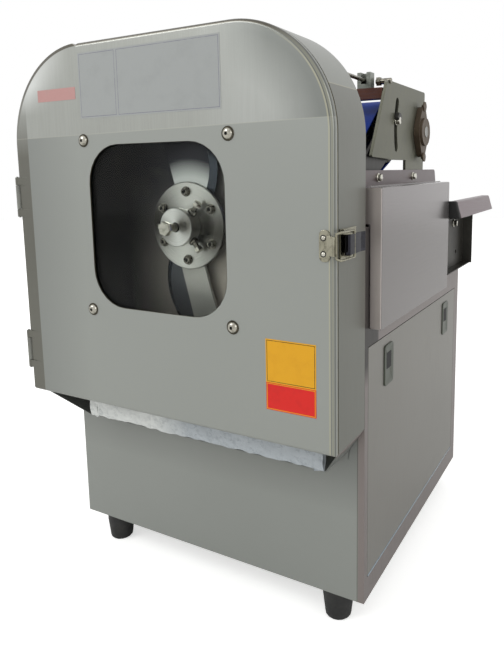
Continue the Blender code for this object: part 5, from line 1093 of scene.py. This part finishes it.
for number in range(6):
    angle = math.radians(30 + 60 * number)
    x, z = SCREW_CIRCLE * math.cos(angle), CUTTER_Z + SCREW_CIRCLE * math.sin(angle)
    screw = lathe(f"hub_screw_{number + 1}", SOCKET, (x, HUB_FACE_Y, z), steps=24)
    fit(screw, SPIN, "fastener", SCREW_STEEL, smooth=30)
    # Painted shade in each screw's socket.
    repaint(screw, DARK_SHADE, lambda f: off_axis(f, x, z) < 0.00245)
middle = Vector((0.0, (NOSE_BACK_Y + NOSE_SEAT_Y) / 2, CUTTER_Z))
for number, degrees in enumerate((50, -50, 180)):
    out = Vector((math.cos(math.radians(degrees)), 0.0, math.sin(math.radians(degrees))))
    name = f"set_bolt_{number + 1}"
    stud = lathe(name, rod(0.0030, 0.0150), middle + out * 0.0185, out, 20)
    nut = hexagon(f"set_nut_{number + 1}", 0.0098, 0.0048, middle + out * 0.0202, out, 0.2)
    head = hexagon(f"set_head_{number + 1}", 0.0092, 0.0050, middle + out * 0.0320, out, 0.5)
    bolt_set = fit(joined(name, stud, nut, head), SPIN, "fastener", SCREW_STEEL, smooth=30)
    repaint(bolt_set, STUD_HEAD, lambda f: (middle_of(f) - middle).dot(out) > 0.0315)
shank = lathe("nose_stud", rod(0.0050, 0.0310), (0, -0.2500, CUTTER_Z), steps=24)
head = hexagon("nose_stud_head", 0.0148, 0.0070, (0, -0.2810, CUTTER_Z), turn=0.25)
long_bolt = fit(joined("nose_stud", shank, head), SPIN, SLOT_OF["nose_bolt"], STUD_HEAD,
                stands_for=("nose_bolt",), smooth=30)
repaint(long_bolt, SCREW_STEEL, lambda f: middle_of(f).y > -0.2808)
print("hub screws: 6, set bolts: 3")

# %% [markdown]
# ## Window screws
# Four domed machine screws hold the pane. A screw is a low dome on a thin washer. Its recess is spun
# with the dome as a small round sink in painted shade, which reads at this size as the dark point in
# the middle, and the washer takes a painted dark reflection. A cut cross would need a Boolean in every head.

# %% Window screws
DOME = [(-0.0002, 0.0), (-0.0002, 0.0072), (0.0004, 0.0076), (0.0009, 0.0072), (0.0009, 0.0059),
        (0.0022, 0.0054), (0.0032, 0.0042), (0.0038, 0.0026), (0.0039, 0.0018), (0.0024, 0.0014), (0.0024, 0.0)]
SCREW_X, SCREW_LOW, SCREW_HIGH = 0.102, 0.375, 0.577


def from_screw(face):
    """How far a face is from the axis of the window screw that it belongs to."""
    place = middle_of(face)
    return off_axis(face, math.copysign(SCREW_X, place.x), SCREW_LOW if place.z < WINDOW_Z else SCREW_HIGH)


first = lathe("window_screw_1", DOME, (-SCREW_X, DOOR_FRONT, SCREW_LOW))
screws = [first] + [copy_to(first, f"window_screw_{i}", shift)
                    for i, shift in ((2, (0.204, 0, 0)), (3, (0, 0, 0.202)), (4, (0.204, 0, 0.202)))]
for screw in screws:
    fit(screw, "door", "fastener", SCREW_DOME, smooth=50)
    # The washer ring takes a painted dark reflection, and the sink painted shade.
    repaint(screw, SCREW_RING, lambda f: from_screw(f) > 0.0058)
    repaint(screw, DARK_SHADE, lambda f: from_screw(f) < 0.0017 and f.normal.y < 0.3)
print("window screws:", len(screws))

# %% [markdown]
# ## Labels
# The door carries a name plate in two parts, a small inspection tab and a two-colour sticker. Each
# is a thin slab whose front face is inset, so the border is geometry. An image would also do, but a
# border that is geometry stays sharp from close by.


# %% Labels
def label(name, low_x, low_z, high_x, high_z, face, border, rim=0.0016):
    """A thin plate on the door with an inset border."""
    piece = slab(name, (low_x, DOOR_FRONT - 0.0002, low_z), (high_x, DOOR_FRONT + 0.0003, high_z), edge=0.0)
    fit(piece, "door", "film", face, border, smooth=30)
    with opened(piece):
        pick(piece, "FACE", lambda f: f.normal.y < -0.9)
        bpy.ops.mesh.inset(thickness=rim, depth=0.0)
        bpy.ops.mesh.inset(thickness=0.0007, depth=0.0)

    def on_line(f):
        x, _, z = middle_of(f)
        near = min(x - low_x, high_x - x, z - low_z, high_z - z) - rim
        return f.normal.y < -0.9 and 0.0 < near < 0.0007

    return repaint(piece, border, on_line)


label("name_plate_wide", -0.046, 0.602, 0.095, 0.676, LABEL_GREY, LABEL_LINE)
label("name_plate_narrow", -0.104, 0.602, -0.046, 0.676, LABEL_GREY, LABEL_LINE)
label("inspection_tab", -0.175, 0.625, -0.111, 0.639, TAB_PINK, TAB_PINK, 0.001)
label("sticker_yellow", 0.142, 0.3215, 0.200, 0.368, STICKER_YELLOW, STICKER_BROWN, 0.0012)
label("sticker_red", 0.142, 0.292, 0.200, 0.3215, STICKER_RED, STICKER_YELLOW, 0.0008)
print("labels placed: 5")

# %% [markdown]
# ## Wrapping left on the chute lip
# A strip of crinkled wrapping is still taped round the lip, rolled at its end. Cloth simulation
# could crumple it, but a tube with a noise displacement along its length gives the same short
# creases and never changes between runs.

# %% Crinkled lip wrapping
LIP_MIDDLE = Vector((0.0075, -0.2530, 0.2240))
LIP_LEAN = math.radians(46.5)
empty_bench()
bpy.ops.mesh.primitive_cylinder_add(vertices=36, radius=1.0, depth=0.356, location=LIP_MIDDLE,
                                    rotation=(0.0, math.pi / 2, 0.0))
wrap = settle(bpy.context.object, "lip_wrapping")
with opened(wrap):
    bpy.ops.mesh.select_all(action="SELECT")
    bpy.ops.transform.resize(value=(1.0, 0.0055, 0.0165), center_override=LIP_MIDDLE)
wrap.data.transform(Matrix.Translation(LIP_MIDDLE) @ Matrix.Rotation(LIP_LEAN - math.pi / 2 + 0.75, 4, "X")
                    @ Matrix.Translation(-LIP_MIDDLE))
with opened(wrap):
    pick(wrap, "FACE", lambda f: abs(f.normal.x) > 0.9)
    bpy.ops.mesh.inset(thickness=0.0022, depth=0.0)
    bpy.ops.mesh.inset(thickness=0.0006, depth=-0.012)
    pick(wrap, "EDGE", lambda e: abs(e.verts[0].co.x - e.verts[1].co.x) > 0.3)
    bpy.ops.mesh.subdivide(number_cuts=150)
mend(wrap)
crumple = bpy.data.textures.new("crumple", "CLOUDS")
crumple.noise_scale = 0.012
crumple.noise_depth = 4
crease = bpy.data.textures.new("crease", "VORONOI")
crease.noise_scale = 0.020
crease.distance_metric = "DISTANCE"
for texture in (crumple, crease):
    push = wrap.modifiers.new(texture.name, "DISPLACE")
    push.texture = texture
    push.strength = 0.0024
    push.mid_level = 0.9
    push.texture_coords = "LOCAL"
apply_all(wrap)
fit(wrap, "cabinet", "film", FILM_FOIL, stands_for=("chute_film",), smooth=24)
print("lip wrapping:", len(wrap.data.polygons), "faces")

# %% [markdown]
# ## Plugs in the rail ends
# The front end of each tray rail is closed by a black moulded plug. It is a small block whose top is
# drawn in to the rail's shape, with soft corners.

# %% Rail plugs
for side, hand in SIDES:
    inner, outer = sorted((side * 0.2220, side * 0.2500))
    plug = slab(f"rail_plug_{hand}", (inner, 0.0695, 0.4662), (outer, 0.0780, 0.4916), edge=0.0)
    with opened(plug):
        squash(plug, lambda v: v.co.z > 0.480, (0.56, 1.0, 1.0), (side * 0.2360, 0.074, 0.490))
        bevel(plug, "EDGE", sharp, 0.0022, 3)
    fit(plug, "cabinet", "rubber", BLACK_PLUG_AND_SLOT_SHADE, smooth=50)
print("rail plugs placed")

# %% [markdown]
# ## Bolts on the trough and the cheeks
# The trough is bolted through its side wall, a stud clamps the stop in the slot, and one bolt sits
# under each tray rail. They are hexagons on spun washers, so a few numbers place each one.


# %% Bolts outside
def bolt(name, place, side, flats, height, washer):
    """A hexagon head on a washer, on the cabinet's left or right."""
    axis = Vector((side, 0, 0))
    ring = [(0, 0), (0, washer), (0.0010, washer), (0.0013, washer - 0.0004), (0.0013, 0)]
    plate = lathe(name + "_washer", ring, place, axis, 24)
    head = hexagon(name + "_head", flats, height, Vector(place) + axis * 0.0012, axis, 0.2)
    return fit(joined(name, head, plate), "cabinet", "fastener", BRIGHT, smooth=30)


bolt("trough_bolt_front", (0.190, -0.108, 0.529), 1, 0.008, 0.004, 0.0055)
bolt("trough_bolt_back", (0.190, 0.031, 0.529), 1, 0.008, 0.004, 0.0055)
bolt("slot_bolt", (0.1877, -0.0365, 0.602), 1, 0.009, 0.005, 0.0056)
STUD = [(0, 0), (0, 0.0030), (0.0006, 0.0036), (0.0200, 0.0036), (0.0206, 0.0030), (0.0206, 0)]
for side, hand in SIDES:
    bolt(f"tray_bolt_{hand}", (side * 0.2222, 0.145, 0.4535), side, 0.008, 0.005, 0.0060)
    out, name = (side, 0, 0), f"cheek_stud_{hand}"
    stud = lathe(name, STUD, (0.12 + side * 0.0490, -0.0610, 0.6505), out, 20)
    nut = hexagon(f"cheek_nut_{hand}", 0.0105, 0.0050, (0.12 + side * 0.0505, -0.0610, 0.6505), out, 0.1)
    fit(joined(name, stud, nut), "cabinet", "fastener", DARK_BOLT, smooth=30)
print("bolts placed")

# %% [markdown]
# ## The latch
# A toggle latch holds the door: a keeper plate screwed to the door, a wire bail, and a lever in a
# plate on the head. The keeper is drawn anew here as a round-ended plate with a tongue and a lip,
# since its two screws and its curl are what the eye looks for. The lever is drawn in towards its
# pin, because the real one is short.

# %% Keeper and lever
LATCH_Z = 0.467
KEEPER_Y, KEEPER_SCREW_X = -0.3056, 0.2092
TONGUE_LOW, TONGUE_HIGH = LATCH_Z - 0.0095, LATCH_Z + 0.0095
LEVER_PIN_Y = -0.2815
plate = slab("keeper_plate", (0.2045, KEEPER_Y, LATCH_Z - 0.0155),
             (0.2160, DOOR_FRONT + 0.0006, LATCH_Z + 0.0155), corner=0.0052, edge=0.0004, steps=5)
tongue = slab("keeper_tongue", (0.2125, -0.3064, TONGUE_LOW), (0.2218, -0.3044, TONGUE_HIGH), 1, 0.002)
lip = slab("keeper_lip", (0.2194, -0.3079, TONGUE_LOW), (0.2220, -0.3050, TONGUE_HIGH), 2, 0.0010)
keeper = joined("keeper", plate, tongue, lip)
fit(keeper, "door", "fastener", LATCH_STEEL, stands_for=("latch_keeper",), smooth=30)
SMALL_HEAD = [(-0.0002, 0.0), (-0.0002, 0.0031), (0.0003, 0.0031), (0.0003, 0.0024), (0.0001, 0.0023),
              (0.0010, 0.0018), (0.0013, 0.0010), (0.0013, 0.0)]
for number, rise in enumerate((-0.0078, 0.0078)):
    place = (KEEPER_SCREW_X, KEEPER_Y, LATCH_Z + rise)
    head = lathe(f"keeper_screw_{number + 1}", SMALL_HEAD, place, steps=20)
    fit(head, "door", "fastener", BRIGHT, smooth=50)
    # Painted shade round the rim of each keeper screw.
    repaint(head, DARK_SHADE, lambda f: off_axis(f, KEEPER_SCREW_X, LATCH_Z + rise) > 0.0021)
lever = DONE["latch_lever"]
with opened(lever):
    squash(lever, lambda v: v.co.y > LEVER_PIN_Y, (0.45, 0.68, 1.0), (0.2226, LEVER_PIN_Y, LATCH_Z))
print("latch dressed; lever ends at", round(max(v.co.y for v in lever.data.vertices), 4))

# %% [markdown]
# ## Pulls and the panels' lower lips
# Each lift-off panel has two moulded pulls whose slot is painted shade, and rests on a folded lip, a bright
# line of painted reflection. They are slabs whose corners are bevelled, placed from the panel's own box.


# %% Pulls and lips
def side_slab(name, panel, side, depth, low, high, corner, edge, *looks, body=None):
    """A slab on one side of the cabinet, from its inner to its outer depth."""
    near, far = sorted(side * reach for reach in depth)
    piece = slab(name, (near, *low), (far, *high), 0, corner, edge)
    return fit(piece, body or BODY_OF[panel], "fastener", *looks, smooth=35)


for side, hand in SIDES:
    panel = f"{hand}_panel"
    proud = [v.co.z for v in NODES[panel].data.vertices if abs(v.co.x) > PROUD_X]
    rise = (min(proud) + max(proud)) / 2 - 0.002
    for number, along in enumerate(PULLS_ALONG):
        surround = side_slab(f"pull_frame_{panel}_{number + 1}", panel, side, (0.2198, 0.2216),
                             (along - 0.0150, rise - 0.0250), (along + 0.0150, rise + 0.0250), 0.0045,
                             0.0005, PULL_STEEL, DARK_SHADE)
        with opened(surround):
            pick(surround, "FACE", lambda f: f.normal.x * side > 0.99)
            bpy.ops.mesh.inset(thickness=0.0045, depth=-0.0006)
        # Each pull's slot is a black slab of painted shade.
        side_slab(f"pull_slot_shade_{panel}_{number + 1}", panel, side, (0.2200, 0.22115),
                  (along - 0.0080, rise - 0.0050), (along + 0.0080, rise + 0.0150), 0.0010, 0.0, BLACK_PLUG_AND_SLOT_SHADE)
    low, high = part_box(panel)
    # The lower lip is a thin bright slab: a painted bluish reflection.
    side_slab(f"panel_lip_highlight_{panel}", panel, side, (0.2196, 0.2204), (low.y + 0.001, low.z - 0.0008),
              (high.y - 0.001, low.z + 0.0010), 0.0, 0.0002, LIP_HIGHLIGHT, body="cabinet")
print("pulls and lips placed")

# %% [markdown]
# ## Floor, light and camera
# A plain pale floor and a white surround suit a catalogue view. The surround is white to the camera
# and in reflections but plainer as a lamp, which keeps colours as they are written. The camera
# stands at the height of the window, to the right, and looks slightly down.

# %% Stage
empty_bench()
bpy.ops.mesh.primitive_plane_add(size=12.0, location=(0.0, 0.0, 0.0))
floor = settle(bpy.context.object, "floor")
paper, tree = new_material("floor_paper")
glow = times(add(tree, "LightPath").outputs["Is Camera Ray"], 0.55)
feed(tree, tree.nodes["Principled BSDF"], Base_Color="F4F4F2", Roughness=0.8, Emission_Color="FFFFFF",
     Emission_Strength=glow)
floor.data.materials.append(paper)

world = bpy.data.worlds.new("studio")
bpy.context.scene.world = world
world.use_nodes = True
tree = world.node_tree
tree.nodes.clear()
rays = add(tree, "LightPath").outputs
seen = maths("MAXIMUM", rays["Is Camera Ray"], rays["Is Glossy Ray"])
clear = maths("MAXIMUM", seen, rays["Is Transmission Ray"])
plain, white = (add(tree, "Background", Color="FFFFFF", Strength=strength) for strength in (0.72, 1.0))
feed(tree, add(tree, "OutputWorld"), Surface=add(tree, "MixShader", in_0=clear, in_1=plain, in_2=white))


def lamp(name, place, target, power, size):
    """A soft square lamp aimed at a point."""
    bpy.ops.object.light_add(type="AREA", location=place)
    made = bpy.context.object
    made.name = name
    made.data.energy = power
    made.data.size = size
    aim = Vector(target) - Vector(place)
    made.rotation_euler = aim.to_track_quat("-Z", "Y").to_euler()
    return made


empty_bench()
lamp("key_lamp", (-1.6, -2.2, 2.4), (0.0, 0.0, 0.35), 32.0, 1.6)
lamp("fill_lamp", (2.6, -0.6, 1.6), (0.0, 0.0, 0.35), 12.0, 1.6)
print("stage set")

# %% Camera
FOCAL_PIXELS = 614.0
IMAGE_HEIGHT = 658.0
YAW, PITCH, ROLL = math.radians(29.07), math.radians(-8.2), math.radians(-0.79)
bpy.ops.object.camera_add(location=(0.460, -0.831, 0.538))
camera = bpy.context.object
forward = Vector((-math.sin(YAW) * math.cos(PITCH), math.cos(YAW) * math.cos(PITCH), math.sin(PITCH)))
level = forward.to_track_quat("-Z", "Y").to_matrix().to_4x4()
camera.matrix_world = Matrix.Translation(camera.location) @ level @ Matrix.Rotation(ROLL, 4, "Z")
camera.data.sensor_width = 36.0
camera.data.lens = FOCAL_PIXELS / IMAGE_HEIGHT * 36.0
camera.data.shift_x = -0.051
camera.data.shift_y = -0.105
bpy.context.scene.camera = camera
bpy.context.scene.view_settings.view_transform = "Standard"
print("lens", round(camera.data.lens, 2), "mm")

# %% [markdown]
